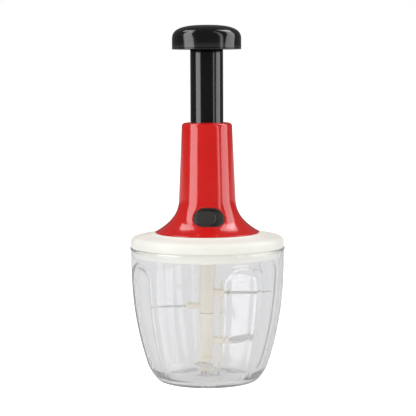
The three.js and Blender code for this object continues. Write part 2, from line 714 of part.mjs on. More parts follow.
function towerHousing() {
  const collarR = TUBE_R + TUBE_BORE_CLEARANCE;
  const collarOuter = collarR + COLLAR_WALL;
  const ceiling = TOWER_TOP_Z - TOWER_WALL;
  const inside = TOWER_INNER_SHARES.map((share) => {
    const height = LID_TOP_Z + share * TOWER_FLARE_HEIGHT;
    return [towerInnerRadius(height), height];
  });
  const shell = turnedRing([
    ...towerBody(0),
    [collarR + RIM_EDGE, TOWER_TOP_Z], [collarR, TOWER_TOP_Z - RIM_EDGE],
    [collarR, COLLAR_BOTTOM_Z], [collarOuter, COLLAR_BOTTOM_Z], [collarOuter, ceiling],
    [columnRadius(ceiling) - TOWER_WALL, ceiling],
    ...inside.reverse(), [towerInnerRadius(LID_TOP_Z), LID_TOP_Z],
  ], ROUND_LARGE);
  const body = turned([[0, LID_TOP_Z], ...towerBody(RIM_EDGE), [0, TOWER_TOP_Z]], ROUND_LARGE);
  const bosses = screwAngles().map((angle) => {
    const post = cylinder(SCREW_BOSS_R, LID_TOP_Z, SCREW_BOSS_TOP_Z, ROUND_SCREW);
    return common(atScrew(post, angle), body);
  });
  const holeTop = LID_TOP_Z - LID_WALL + SCREW_LENGTH + SCREW_HOLE_CLEARANCE;
  const holes = screwAngles().map((angle) => {
    return atScrew(cylinder(SCREW_R + SCREW_BOSS_FIT, LID_TOP_Z - OVERRUN, holeTop, ROUND_SCREW), angle);
  });
  return cut(join(shell, ...bosses), ...holes, lockOpening());
}

function guideSleeve() {
  const outer = SLEEVE_BORE_R + SLEEVE_WALL;
  const flangeTop = LID_TOP_Z + SLEEVE_FLANGE_HEIGHT;
  const tube = turnedRing([
    [SLEEVE_BORE_R, LID_TOP_Z], [SLEEVE_FLANGE_R, LID_TOP_Z], [SLEEVE_FLANGE_R, flangeTop],
    [outer, flangeTop], [outer, SLEEVE_TOP_Z], [SLEEVE_BORE_R, SLEEVE_TOP_Z],
  ], ROUND_MEDIUM);
  const slotTop = LATCH_Z + LATCH_THICKNESS + LATCH_SLOT_CLEARANCE;
  const slot = block(
    [-TONGUE_LEFT_X - LATCH_SLOT_CLEARANCE, -outer - OVERRUN, LATCH_Z - LATCH_SLOT_CLEARANCE],
    [LOCK_TRAVEL + LATCH_SLOT_CLEARANCE - TONGUE_RIGHT_X, 0, slotTop],
  );
  return cut(tube, slot);
}

function lockBezel() {
  const width = LOCK_WIDTH - BEZEL_FIT * 2;
  const height = LOCK_HEIGHT - BEZEL_FIT * 2;
  const blank = onLockFace(prism(obround(width, height), -BEZEL_FLOOR, TOWER_FLARE_HEIGHT));
  const bell = turned([[0, LID_TOP_Z], ...towerBody(BEZEL_SINK), [0, TOWER_TOP_Z]], ROUND_LARGE);
  const pocketShape = obround(width - BEZEL_RIM * 2, height - BEZEL_RIM * 2);
  const pocket = onLockFace(prism(pocketShape, 0, TOWER_FLARE_HEIGHT + OVERRUN));
  const slotHalf = (BUTTON_STEM_WIDTH + LOCK_TRAVEL) / 2 + BUTTON_SLOT_CLEARANCE;
  const slotHeight = BUTTON_STEM_HEIGHT / 2 + BUTTON_SLOT_CLEARANCE;
  const slot = block([-slotHalf, -slotHeight, -BEZEL_FLOOR - OVERRUN], [slotHalf, slotHeight, OVERRUN])
    .translate(0, BUTTON_STEM_RISE, 0);
  return cut(common(blank, bell), pocket, onLockFace(slot));
}

function lockButton() {
  const height = LOCK_HEIGHT - (BEZEL_FIT + BEZEL_RIM + BUTTON_GAP) * 2;
  const width = LOCK_WIDTH - (BEZEL_FIT + BEZEL_RIM + BUTTON_GAP) * 2 - LOCK_TRAVEL;
  const core = obround(width - BUTTON_EDGE * 2, height - BUTTON_EDGE * 2);
  const cap = new THREE.ExtrudeGeometry(core, {
    depth: BUTTON_HEIGHT - BUTTON_GAP - BUTTON_EDGE * 2,
    bevelEnabled: true,
    bevelThickness: BUTTON_EDGE,
    bevelSize: BUTTON_EDGE,
    bevelSegments: 2,
    curveSegments: ARC_STEPS * 2,
  }).translate(0, 0, BUTTON_GAP + BUTTON_EDGE);
  const depth = (LOCK_STANDOFF - LATCH_STEM_GAP) / Math.cos(degrees(LOCK_TILT));
  const half = [BUTTON_STEM_WIDTH / 2, BUTTON_STEM_HEIGHT / 2];
  const stemTop = BUTTON_STEM_RISE + half[1];
  const back = stemTop * Math.tan(degrees(LOCK_TILT)) - depth;
  const stem = block([-half[0], BUTTON_STEM_RISE - half[1], back], [half[0], stemTop, BUTTON_HEIGHT / 2]);
  return onLockFace(join(cap, stem)).translate(-LOCK_TRAVEL / 2, 0, 0);
}

function lockLatch() {
  const outline = new THREE.Shape([
    [LATCH_RIGHT_REACH, -LATCH_FRONT_Y], [LATCH_RIGHT_REACH, -LATCH_BACK_Y], [-TONGUE_RIGHT_X, -LATCH_BACK_Y],
    [-TONGUE_RIGHT_X, -TONGUE_Y], [-TONGUE_LEFT_X, -TONGUE_Y],
    [-TONGUE_LEFT_X, -LATCH_FRONT_Y + LATCH_CORNER_BACK],
    [-TONGUE_LEFT_X + LATCH_CORNER_IN, -LATCH_FRONT_Y],
  ].map(([x, y]) => new THREE.Vector2(x, y)));
  return prism(outline, LATCH_Z, LATCH_Z + LATCH_THICKNESS);
}

// Plunger

function plungerTube() {
  const bore = TUBE_R - TUBE_WALL;
  const socket = TUBE_R - TUBE_SOCKET_WALL;
  const socketTop = TUBE_BOTTOM_Z + TUBE_SOCKET_DEPTH;
  const flangeTop = TUBE_BOTTOM_Z + TUBE_FLANGE_HEIGHT;
  return turnedRing([
    [socket, TUBE_BOTTOM_Z], [TUBE_FLANGE_R - RIM_EDGE, TUBE_BOTTOM_Z],
    [TUBE_FLANGE_R, TUBE_BOTTOM_Z + RIM_EDGE], [TUBE_FLANGE_R, flangeTop], [TUBE_R, flangeTop],
    [TUBE_R, TUBE_TOP_Z], [bore, TUBE_TOP_Z], [bore, socketTop], [socket, socketTop],
  ], ROUND_MEDIUM);
}

// Heights of the strip's rings: the two ends, and the steps of the twist between them.
function twistHeights(bottom, top) {
  const step = SPIRAL_PITCH / STRIP_STEPS_PER_TURN;
  const first = Math.floor((bottom - STRIP_BOTTOM_Z) / step) + 1;
  const last = Math.ceil((top - STRIP_BOTTOM_Z) / step) - 1;
  const between = Array.from({ length: last - first + 1 }, (_, i) => STRIP_BOTTOM_Z + (first + i) * step);
  return [bottom, ...between, top];
}

// The twisted strip between two heights, left-handed, drawn out by a margin on every side.
function twistedStrip(bottom, top, margin) {
  const half = [STRIP_WIDTH / 2 + margin, STRIP_THICKNESS / 2 + margin];
  const front = STRIP_ACROSS_SHARES.map((share) => [share * half[0], -half[1]]);
  const back = front.map(([x, y]) => [-x, -y]);
  const rings = twistHeights(bottom, top).map((height) => {
    const turn = -Math.PI * 2 * (height - STRIP_BOTTOM_Z) / SPIRAL_PITCH;
    const [cos, sin] = [Math.cos(turn), Math.sin(turn)];
    const corners = [...front, ...back];
    return corners.map(([x, y]) => new THREE.Vector3(x * cos - y * sin, x * sin + y * cos, height));
  });
  return loft(rings);
}

function spiralNut() {
  const radius = TUBE_R - TUBE_SOCKET_WALL - NUT_FIT;
  const top = TUBE_BOTTOM_Z + NUT_HEIGHT;
  const body = turned([
    [0, TUBE_BOTTOM_Z], [radius, TUBE_BOTTOM_Z], [radius, top - NUT_FIT],
    [radius - NUT_FIT, top], [0, top],
  ], ROUND_MEDIUM);
  const slot = twistedStrip(TUBE_BOTTOM_Z - OVERRUN, top + OVERRUN, STRIP_RUN_CLEARANCE);
  return cut(body, slot);
}

function knobOuterHeight(share) {
  const rise = (1 - share ** KNOB_ROUND_POWER) ** (1 / KNOB_ROUND_POWER);
  return KNOB_SIDE_Z + (KNOB_TOP_Z - KNOB_SIDE_Z) * rise;
}

function palmKnob() {
  const plugR = TUBE_R - TUBE_WALL - KNOB_PLUG_FIT;
  const seatZ = TUBE_TOP_Z + KNOB_SEAT_GAP;
  const innerR = KNOB_R - KNOB_WALL;
  const innerTop = (share) => knobOuterHeight(share) - KNOB_WALL;
  const outer = KNOB_DOME_SHARES.map((share) => [KNOB_R * share, knobOuterHeight(share)]);
  const inner = KNOB_DOME_SHARES.filter((share) => innerR * share > KNOB_SEAT_R);
  return turned([
    [0, KNOB_PLUG_BOTTOM_Z], [plugR, KNOB_PLUG_BOTTOM_Z], [plugR, seatZ], [KNOB_SEAT_R, seatZ],
    [KNOB_SEAT_R, innerTop(KNOB_SEAT_R / innerR)],
    ...inner.reverse().map((share) => [innerR * share, innerTop(share)]),
    [innerR, KNOB_BOTTOM_Z], [KNOB_R - KNOB_EDGE, KNOB_BOTTOM_Z], [KNOB_R, KNOB_BOTTOM_Z + KNOB_EDGE],
    ...outer,
  ], ROUND_LARGE);
}

function knobUnderplate() {
  const bore = TUBE_R + UNDERPLATE_GAP;
  const outer = KNOB_R - UNDERPLATE_INSET;
  const top = KNOB_BOTTOM_Z - UNDERPLATE_GAP;
  const lipOuter = KNOB_R - KNOB_WALL - UNDERPLATE_GAP;
  const lipInner = lipOuter - UNDERPLATE_LIP_WALL;
  const middle = (bore + outer) / 2;
  return turnedRing([
    [bore, top], [bore, top - UNDERPLATE_THICKNESS - UNDERPLATE_DROP / 2],
    [middle, top - UNDERPLATE_THICKNESS - UNDERPLATE_DROP / 2],
    [outer - UNDERPLATE_DROP, top - UNDERPLATE_THICKNESS / 2], [outer, top],
    [lipOuter, top], [lipOuter, top + UNDERPLATE_LIP_HEIGHT], [lipInner, top + UNDERPLATE_LIP_HEIGHT],
    [lipInner, top],
  ], ROUND_LARGE);
}

// A spring with closed end turns: each height is a sum of the turns below it.
function springHeight(turn, turns, length) {
  const openTurns = turns - SPRING_END_TURNS * 2;
  const openPitch = (length - SPRING_WIRE - SPRING_END_PITCH * SPRING_END_TURNS * 2) / openTurns;
  const low = Math.min(turn, SPRING_END_TURNS);
  const open = THREE.MathUtils.clamp(turn - SPRING_END_TURNS, 0, openTurns);
  const high = Math.max(0, turn - SPRING_END_TURNS - openTurns);
  return SPRING_WIRE / 2 + (low + high) * SPRING_END_PITCH + open * openPitch;
}

// The least distance between wire surfaces of turns that lie over each other.
function springGap(heights) {
  let gap = Infinity;
  for (let i = SPRING_STEPS_PER_TURN; i < heights.length; i += 1) {
    gap = Math.min(gap, heights[i] - heights[i - SPRING_STEPS_PER_TURN] - SPRING_WIRE);
  }
  return gap;
}

function returnSpring() {
  const bottom = SPINDLE_CAP_TOP_Z + SPRING_SEAT_GAP;
  const length = KNOB_PLUG_BOTTOM_Z - SPRING_SEAT_GAP - bottom;
  const turns = SPRING_COILS + SPRING_END_TURNS * 2;
  const steps = turns * SPRING_STEPS_PER_TURN;
  const heights = Array.from({ length: steps + 1 }, (_, i) => {
    return springHeight(i / SPRING_STEPS_PER_TURN, turns, length);
  });
  console.log(`return spring: least gap between turns ${springGap(heights).toFixed(2)} mm`);
  const rings = heights.map((height, i) => {
    const angle = Math.PI * 2 * i / SPRING_STEPS_PER_TURN;
    return Array.from({ length: SPRING_SIDES }, (_, side) => {
      const around = Math.PI * 2 * side / SPRING_SIDES;
      const radius = SPRING_MEAN_R + SPRING_WIRE / 2 * Math.cos(around);
      const z = bottom + height + SPRING_WIRE / 2 * Math.sin(around);
      return new THREE.Vector3(radius * Math.cos(angle), radius * Math.sin(angle), z);
    });
  });
  return loft(rings);
}

// Spindle

function driveHub() {
  const washerTop = LID_TOP_Z + WASHER_THICKNESS;
  const flangeZ = washerTop + HUB_FLANGE_GAP;
  const top = flangeZ + HUB_FLANGE_HEIGHT;
  const clipTop = BEARING_BOTTOM_Z - CLIP_GAP;
  const clipBottom = clipTop - CLIP_THICKNESS - CLIP_GAP;
  const groove = HUB_R - CLIP_GROOVE_DEPTH;
  const body = turned([
    [0, HUB_BOTTOM_Z], [HUB_R - HUB_EDGE, HUB_BOTTOM_Z], [HUB_R, HUB_BOTTOM_Z + HUB_EDGE],
    [HUB_R, clipBottom], [groove, clipBottom], [groove, clipTop], [HUB_JOURNAL_R, clipTop],
    [HUB_JOURNAL_R, flangeZ], [HUB_FLANGE_R, flangeZ], [HUB_FLANGE_R, top - HUB_EDGE],
    [HUB_FLANGE_R - HUB_EDGE, top], [0, top],
  ], ROUND_MEDIUM);
  const socketTop = HUB_BOTTOM_Z - COLUMN_HUB_GAP + SPIGOT_HEIGHT + SPIGOT_CLEARANCE * 2;
  const socket = hexagon(SPIGOT_FLATS + SPIGOT_CLEARANCE * 2, HUB_BOTTOM_Z - OVERRUN, socketTop);
  const slot = twistedStrip(STRIP_BOTTOM_Z - STRIP_SEAT_FIT, top + OVERRUN, STRIP_SEAT_FIT);
  return cut(body, socket, slot);
}

function thrustWasher() {
  const top = LID_TOP_Z + WASHER_THICKNESS;
  const inner = BEARING_BORE_R;
  return turnedRing([
    [inner, LID_TOP_Z], [HUB_FLANGE_R, LID_TOP_Z], [HUB_FLANGE_R, top], [inner, top],
  ], ROUND_MEDIUM);
}

// A snap ring that is open on one side, in the hub's groove under the lid's bearing.
function hubClip() {
  const inner = HUB_R - CLIP_GROOVE_DEPTH + CLIP_GAP / 2;
  const top = BEARING_BOTTOM_Z - CLIP_GAP * 1.5;
  const bottom = top - CLIP_THICKNESS;
  const ring = turnedRing([[inner, bottom], [CLIP_R, bottom], [CLIP_R, top], [inner, top]], ROUND_MEDIUM);
  const half = inner * CLIP_MOUTH_SHARE;
  return cut(ring, block([-half, 0, bottom - OVERRUN], [half, CLIP_R + OVERRUN, top + OVERRUN]));
}

function spiralSpindle() {
  return twistedStrip(STRIP_BOTTOM_Z, STRIP_TOP_Z, 0);
}

function spindleCap() {
  const pegTop = SPINDLE_CAP_TOP_Z + SPINDLE_CAP_PEG_HEIGHT;
  const body = turned([
    [0, SPINDLE_CAP_BOTTOM_Z], [SPINDLE_CAP_R - HUB_EDGE, SPINDLE_CAP_BOTTOM_Z],
    [SPINDLE_CAP_R, SPINDLE_CAP_BOTTOM_Z + HUB_EDGE], [SPINDLE_CAP_R, SPINDLE_CAP_TOP_Z],
    [SPINDLE_CAP_PEG_R, SPINDLE_CAP_TOP_Z], [SPINDLE_CAP_PEG_R, pegTop - HUB_EDGE],
    [SPINDLE_CAP_PEG_R - HUB_EDGE, pegTop], [0, pegTop],
  ], ROUND_SMALL);
  const slotTop = STRIP_TOP_Z + STRIP_SEAT_FIT;
  return cut(body, twistedStrip(SPINDLE_CAP_BOTTOM_Z - OVERRUN, slotTop, STRIP_SEAT_FIT));
}

// Blade column

const BLADES = [
  {
    name: 'blade_a', carrier: 'upper', angle: BLADE_A_ANGLE, z: BLADE_A_Z,
    reach: bladeReach(BLADE_A_Z, BLADE_A_WALL_GAP),
    sweep: BLADE_A_SWEEP, belly: BLADE_A_BELLY, lift: BLADE_A_LIFT,
  },
  {
    name: 'blade_b', carrier: 'upper', angle: BLADE_B_ANGLE, z: BLADE_B_Z,
    reach: bladeReach(BLADE_B_Z, BLADE_B_WALL_GAP),
    sweep: BLADE_B_SWEEP, belly: BLADE_B_BELLY, lift: BLADE_B_LIFT,
  },
  {
    name: 'blade_c', carrier: 'lower', angle: BLADE_C_ANGLE, z: BLADE_C_Z,
    reach: bladeReach(BLADE_C_Z, BLADE_C_WALL_GAP),
    sweep: BLADE_C_SWEEP, belly: BLADE_C_BELLY, lift: BLADE_C_LIFT,
  },
  {
    name: 'blade_d', carrier: 'lower', angle: BLADE_D_ANGLE, z: BLADE_D_Z,
    reach: bladeReach(BLADE_D_Z, BLADE_D_WALL_GAP),
    sweep: BLADE_D_SWEEP, belly: BLADE_D_BELLY, lift: BLADE_D_LIFT,
  },
];

// How far a blade reaches out, from the gap that its tip leaves to a panel of the bowl.
function bladeReach(height, gap) {
  return bowlRadius(height) - BOWL_WALL - PANEL_RECESS - gap;
}

// Half the blade's width at a share of its free length: it swells, then tapers to the tip.
function bladeHalfWidth(blade, share) {
  const swell = (blade.belly - BLADE_ROOT_HALF_WIDTH) * Math.sin(Math.PI * Math.min(1, share * 1.5));
  const taper = (BLADE_ROOT_HALF_WIDTH - BLADE_TIP_HALF_WIDTH) * share ** 3;
  return BLADE_ROOT_HALF_WIDTH + Math.max(0, swell) - taper;
}

// A thin blade, ground on top along its leading edge, that sweeps back to its tip.
function bladeGeometry(blade) {
  const free = blade.reach - ARM_REACH;
  const half = BLADE_THICKNESS / 2;
  const stations = Array.from({ length: BLADE_STEPS }, (_, i) => i / (BLADE_STEPS - 1));
  const ring = (x, share) => {
    const width = bladeHalfWidth(blade, share);
    const slope = 2 * blade.sweep * share / free;
    const [along, across] = [1 / Math.hypot(1, slope), slope / Math.hypot(1, slope)];
    const centre = [x, blade.sweep * share * share];
    const grind = Math.min(BLADE_GRIND, width);
    const z = blade.lift * share * share;
    const at = (side, height) => {
      return new THREE.Vector3(centre[0] - across * side, centre[1] + along * side, z + height);
    };
    return [at(-width, -half), at(width, -half), at(width, half), at(-width + grind, half)];
  };
  const rings = [ring(BLADE_ROOT_X, 0), ...stations.map((share) => ring(ARM_REACH + share * free, share))];
  return loft(rings).rotateZ(degrees(blade.angle)).translate(0, 0, blade.z);
}

function armGeometry(blade) {
  const [root, tip] = [ARM_ROOT_HALF_WIDTH - ARM_EDGE, ARM_TIP_HALF_WIDTH - ARM_EDGE];
  const reach = ARM_REACH - ARM_EDGE;
  const outline = new THREE.Shape();
  outline.moveTo(0, -root);
  outline.lineTo(reach - ARM_CORNER, -tip);
  outline.quadraticCurveTo(reach, -tip, reach, -tip + ARM_CORNER);
  outline.lineTo(reach, tip - ARM_CORNER);
  outline.quadraticCurveTo(reach, tip, reach - ARM_CORNER, tip);
  outline.lineTo(0, root);
  outline.closePath();
  const geometry = new THREE.ExtrudeGeometry(outline, {
    depth: ARM_THICKNESS - ARM_EDGE * 2,
    bevelEnabled: true,
    bevelThickness: ARM_EDGE,
    bevelSize: ARM_EDGE,
    bevelSegments: 1,
    curveSegments: ARC_STEPS,
  }).translate(0, 0, ARM_EDGE - ARM_THICKNESS / 2);
  return geometry.rotateZ(degrees(blade.angle)).translate(0, 0, blade.z);
}

function bladeSlot(blade) {
  const half = [BLADE_ROOT_HALF_WIDTH, BLADE_THICKNESS / 2].map((size) => size + BLADE_SLOT_CLEARANCE);
  const low = [BLADE_ROOT_X - BLADE_SLOT_CLEARANCE, -half[0], -half[1]];
  const high = [ARM_REACH + OVERRUN, half[0], half[1]];
  return block(low, high).rotateZ(degrees(blade.angle)).translate(0, 0, blade.z);
}

// A column with the arms of its blades, their slots, and a bore that runs up into it.
function withArms(column, carrier, bore) {
  const held = BLADES.filter((blade) => blade.carrier === carrier);
  return cut(join(column, ...held.map(armGeometry)), ...held.map(bladeSlot), bore);
}

function bladeStem() {
  const boreTop = PIN_TOP_Z + PIN_RUN_CLEARANCE * 2;
  const bore = cylinder(PIN_R + PIN_RUN_CLEARANCE, COLUMN_BOTTOM_Z - OVERRUN, boreTop, ROUND_SMALL);
  const footTop = COLUMN_BOTTOM_Z + COLUMN_FOOT_HEIGHT;
  const collarZ = COLUMN_SEAM_Z - COLUMN_COLLAR_HEIGHT;
  const column = turned([
    [0, COLUMN_BOTTOM_Z], [COLUMN_FOOT_R - COLUMN_EDGE, COLUMN_BOTTOM_Z],
    [COLUMN_FOOT_R, COLUMN_BOTTOM_Z + COLUMN_EDGE], [COLUMN_FOOT_R, footTop - COLUMN_EDGE],
    [COLUMN_LOWER_R, footTop + COLUMN_EDGE], [COLUMN_LOWER_R, collarZ],
    [COLUMN_R, collarZ + COLUMN_EDGE], [COLUMN_R, COLUMN_SEAM_Z - COLUMN_EDGE],
    [COLUMN_R - COLUMN_EDGE, COLUMN_SEAM_Z], [0, COLUMN_SEAM_Z],
  ], ROUND_MEDIUM);
  const spigot = hexagon(JOINT_FLATS, COLUMN_SEAM_Z - OVERRUN, COLUMN_SEAM_Z + JOINT_HEIGHT);
  return withArms(join(column, spigot), 'lower', bore);
}

function upperBladeCarrier() {
  const bottom = COLUMN_SEAM_Z + COLUMN_SEAM_GAP;
  const top = HUB_BOTTOM_Z - COLUMN_HUB_GAP;
  const column = turned([
    [0, bottom], [COLUMN_R - COLUMN_EDGE, bottom], [COLUMN_R, bottom + COLUMN_EDGE],
    [COLUMN_R, top - COLUMN_EDGE], [COLUMN_R - COLUMN_EDGE, top], [0, top],
  ], ROUND_MEDIUM);
  const spigot = hexagon(SPIGOT_FLATS, top - OVERRUN, top + SPIGOT_HEIGHT);
  const socketTop = COLUMN_SEAM_Z + JOINT_HEIGHT + SPIGOT_CLEARANCE * 2;
  const socket = hexagon(JOINT_FLATS + SPIGOT_CLEARANCE * 2, bottom - OVERRUN, socketTop);
  return withArms(join(column, spigot), 'upper', socket);
}

// Assembly

function piece(name, geometry, finish) {
  const mesh = new THREE.Mesh(closedMesh(geometry), new THREE.MeshStandardMaterial(finish));
  mesh.name = name;
  return mesh;
}

const bowl = new THREE.Group();
bowl.add(piece('bowl', bowlGeometry(), CLEAR));
bowl.add(piece('pivot_pin', pivotPin(), STEEL));

const bladeUnit = new THREE.Group();
bladeUnit.add(piece('blade_stem', bladeStem(), CREAM));
bladeUnit.add(piece('upper_blade_carrier', upperBladeCarrier(), CREAM));
for (const blade of BLADES) {
  bladeUnit.add(piece(blade.name, bladeGeometry(blade), STEEL));
}

const lidUnit = new THREE.Group();
lidUnit.add(piece('lid', lidGeometry(), LID_WHITE));
lidUnit.add(piece('tower_housing', towerHousing(), RED));
lidUnit.add(piece('guide_sleeve', guideSleeve(), CREAM));
lidUnit.add(piece('lock_bezel', lockBezel(), DARK_GREY));
lidUnit.add(piece('thrust_washer', thrustWasher(), STEEL));
lidUnit.add(piece('return_spring', returnSpring(), STEEL));
screwAngles().forEach((angle, i) => {
  lidUnit.add(piece(`tower_screw_${i + 1}`, towerScrew(angle), STEEL));
});

const lock = new THREE.Group();
lock.add(piece('lock_button', lockButton(), DARK_GREY));
lock.add(piece('lock_latch', lockLatch(), DARK_GREY));

const plunger = new THREE.Group();
plunger.add(piece('plunger_tube', plungerTube(), BLACK));
plunger.add(piece('spiral_nut', spiralNut(), CREAM));
plunger.add(piece('palm_knob', palmKnob(), BLACK));
plunger.add(piece('knob_underplate', knobUnderplate(), BLACK_INNER));

const spindle = new THREE.Group();
spindle.add(piece('drive_hub', driveHub(), CREAM));
spindle.add(piece('hub_clip', hubClip(), STEEL));
spindle.add(piece('spiral_spindle', spiralSpindle(), STEEL));
spindle.add(piece('spindle_cap', spindleCap(), CREAM));

const chopper = new THREE.Group();
chopper.add(bowl, bladeUnit, lidUnit, lock, plunger, spindle);

export default chopper;
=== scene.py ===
"""Looks of a hand-press vegetable chopper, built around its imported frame."""

import logging
import math
from dataclasses import dataclass
from enum import Enum
from typing import Callable, Sequence

import bpy
from mathutils import Matrix, Vector


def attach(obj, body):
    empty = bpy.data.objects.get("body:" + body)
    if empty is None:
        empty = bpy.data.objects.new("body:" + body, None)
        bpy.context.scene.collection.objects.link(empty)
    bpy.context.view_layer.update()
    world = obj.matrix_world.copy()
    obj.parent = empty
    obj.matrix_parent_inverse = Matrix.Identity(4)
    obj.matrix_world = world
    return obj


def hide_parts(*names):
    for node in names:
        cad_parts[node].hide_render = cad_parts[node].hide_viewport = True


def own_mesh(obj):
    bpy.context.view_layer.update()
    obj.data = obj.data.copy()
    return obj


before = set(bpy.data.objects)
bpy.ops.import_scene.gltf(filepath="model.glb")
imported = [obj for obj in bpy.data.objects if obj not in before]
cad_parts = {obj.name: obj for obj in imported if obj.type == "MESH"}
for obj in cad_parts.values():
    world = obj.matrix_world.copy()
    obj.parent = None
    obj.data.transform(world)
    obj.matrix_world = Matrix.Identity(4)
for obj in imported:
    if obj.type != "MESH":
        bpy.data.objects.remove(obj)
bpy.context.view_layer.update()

log = logging.getLogger("chopper")

MM = 0.001
FULL_TURN = 2 * math.pi
NEARLY_STRAIGHT = math.radians(89.5)
CORNER_REACH_SHARE = 0.49

# Widths in metres, as Blender's tools take them
DOUBLES = 2e-6
SLIVERS = DOUBLES / 4

# How far cutters run past what they cut, and small steps of measuring, in mm
OVERRUN = 2.0
SLACK = 0.01
SLOPE_STEP = 0.1

# A profile's point, a point with the radius of its rounding, and plain sets of numbers
Point = tuple[float, float]
Corner = tuple[float, float, float]
Pair = tuple[float, float]
Triple = tuple[float, float, float]
Colour = tuple[float, float, float]

# What Blender's objects are called here
Piece = bpy.types.Object
Material = bpy.types.Material
Node = bpy.types.Node
Socket = bpy.types.NodeSocket

# Rules: a point's new place, a skin's radius at a height, and a ring's place by
# direction and distance
Shift = Callable[[Vector], Vector]
Skin = Callable[[float], float]
Ring = Callable[[float, float], Vector]


class Body(Enum):
    """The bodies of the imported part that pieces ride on."""

    BOWL = "bowl"
    BLADES = "blade_unit"
    LID = "lid_unit"
    LOCK = "lock"
    PLUNGER = "plunger"
    SPINDLE = "spindle"


class Kind(Enum):
    """What edit mode selects."""

    VERTEX = "VERT"
    EDGE = "EDGE"
    FACE = "FACE"


class Join(Enum):
    """How a piece is combined with another."""

    ADD = "UNION"
    CUT = "DIFFERENCE"


class Mix(Enum):
    """What a mix node mixes: its data type, its two inputs and its output."""

    LEVEL = ("FLOAT", 2, 3, 0)
    COLOUR = ("RGBA", 6, 7, 2)


# Bench: small steps that every piece is made with


def deselect_all() -> None:
    """Clears the selection in object mode."""
    bpy.ops.object.select_all(action="DESELECT")


def take(piece: Piece) -> None:
    """Selects one piece alone and makes it active.

    Args:
        piece: The piece that the next operators act on.
    """
    deselect_all()
    piece.select_set(True)
    bpy.context.view_layer.objects.active = piece


def edit() -> None:
    """Takes the active piece into edit mode."""
    bpy.ops.object.mode_set(mode="EDIT")


def open_edit(piece: Piece) -> None:
    """Takes a piece into edit mode with all of it selected.

    Args:
        piece: The piece to edit.
    """
    take(piece)
    edit()
    bpy.ops.mesh.select_all(action="SELECT")


def close_edit() -> None:
    """Goes back to object mode."""
    bpy.ops.object.mode_set(mode="OBJECT")


def select_mode(kind: Kind) -> None:
    """Sets what edit mode selects."""
    bpy.ops.mesh.select_mode(type=kind.value)


def select_where(piece: Piece, kind: Kind, test: Callable[[Vector], bool]) -> None:
    """Selects the faces or vertices whose place passes a test.

    Args:
        piece: The piece, in edit mode.
        kind: Faces or vertices.
        test: Says of a face's middle or a vertex's place whether to take it.
    """
    select_mode(kind)
    bpy.ops.mesh.select_all(action="DESELECT")
    close_edit()
    if kind is Kind.FACE:
        for face in piece.data.polygons:
            face.select = test(face.center)
    else:
        for vertex in piece.data.vertices:
            vertex.select = test(vertex.co)
    edit()


def select_open_edges() -> None:
    """Selects the edges that bound a hole in the piece in edit mode."""
    bpy.ops.mesh.select_all(action="DESELECT")
    select_mode(Kind.EDGE)
    bpy.ops.mesh.select_non_manifold(
        extend=False, use_wire=False, use_multi_face=False, use_non_contiguous=False, use_verts=False,
    )


def extrude(x: float, y: float, z: float) -> None:
    """Extrudes the selection by a shift in mm."""
    shift = (x * MM, y * MM, z * MM)
    bpy.ops.mesh.extrude_region_move(TRANSFORM_OT_translate={"value": shift})


def move_points(piece: Piece, shift: Shift) -> None:
    """Moves each vertex of a piece by a rule.

    Args:
        piece: The piece, in object mode.
        shift: Gives a vertex's new place from its old one.
    """
    for vertex in piece.data.vertices:
        vertex.co = shift(vertex.co)
    piece.data.update()


def set_place(piece: Piece) -> None:
    """Moves a piece's place, turn and scale into its mesh."""
    take(piece)
    bpy.ops.object.transform_apply(location=True, rotation=True, scale=True)


def smooth(piece: Piece, angle: float = 32) -> None:
    """Shades a piece smooth, with edges sharper than an angle left crisp.

    Args:
        piece: The piece to shade.
        angle: The angle in degrees.
    """
    take(piece)
    bpy.ops.object.shade_smooth_by_angle(angle=math.radians(angle))


def face_outwards(piece: Piece) -> None:
    """Merges doubles, clears slivers and turns every face of a closed piece outwards.

    Args:
        piece: The piece, in object mode.
    """
    open_edit(piece)
    bpy.ops.mesh.remove_doubles(threshold=DOUBLES)
    bpy.ops.mesh.dissolve_degenerate(threshold=SLIVERS)
    bpy.ops.mesh.select_all(action="SELECT")
    bpy.ops.mesh.normals_make_consistent(inside=False)
    close_edit()


def combine(piece: Piece, other: Piece, join: Join) -> None:
    """Joins or cuts a piece with another, which is used up, and clears the seam of slivers.

    Args:
        piece: The piece that stays.
        other: The piece that it is joined or cut with.
        join: Whether the other is added or cut away.
    """
    take(piece)
    modifier = piece.modifiers.new("combine", "BOOLEAN")
    modifier.operation = join.value
    modifier.solver = "EXACT"
    modifier.object = other
    bpy.ops.object.modifier_apply(modifier=modifier.name)
    bpy.data.objects.remove(other)
    face_outwards(piece)


def round_edges(piece: Piece, width: float, segments: int, angle: float) -> None:
    """Rounds a piece's sharp edges.

    Args:
        piece: The piece.
        width: The bevel's width in mm.
        segments: Steps of the rounding.
        angle: Edges sharper than this many degrees are rounded.
    """
    take(piece)
    modifier = piece.modifiers.new("round", "BEVEL")
    modifier.width = width * MM
    modifier.segments = segments
    modifier.limit_method = "ANGLE"
    modifier.angle_limit = math.radians(angle)
    modifier.harden_normals = False
    bpy.ops.object.modifier_apply(modifier=modifier.name)


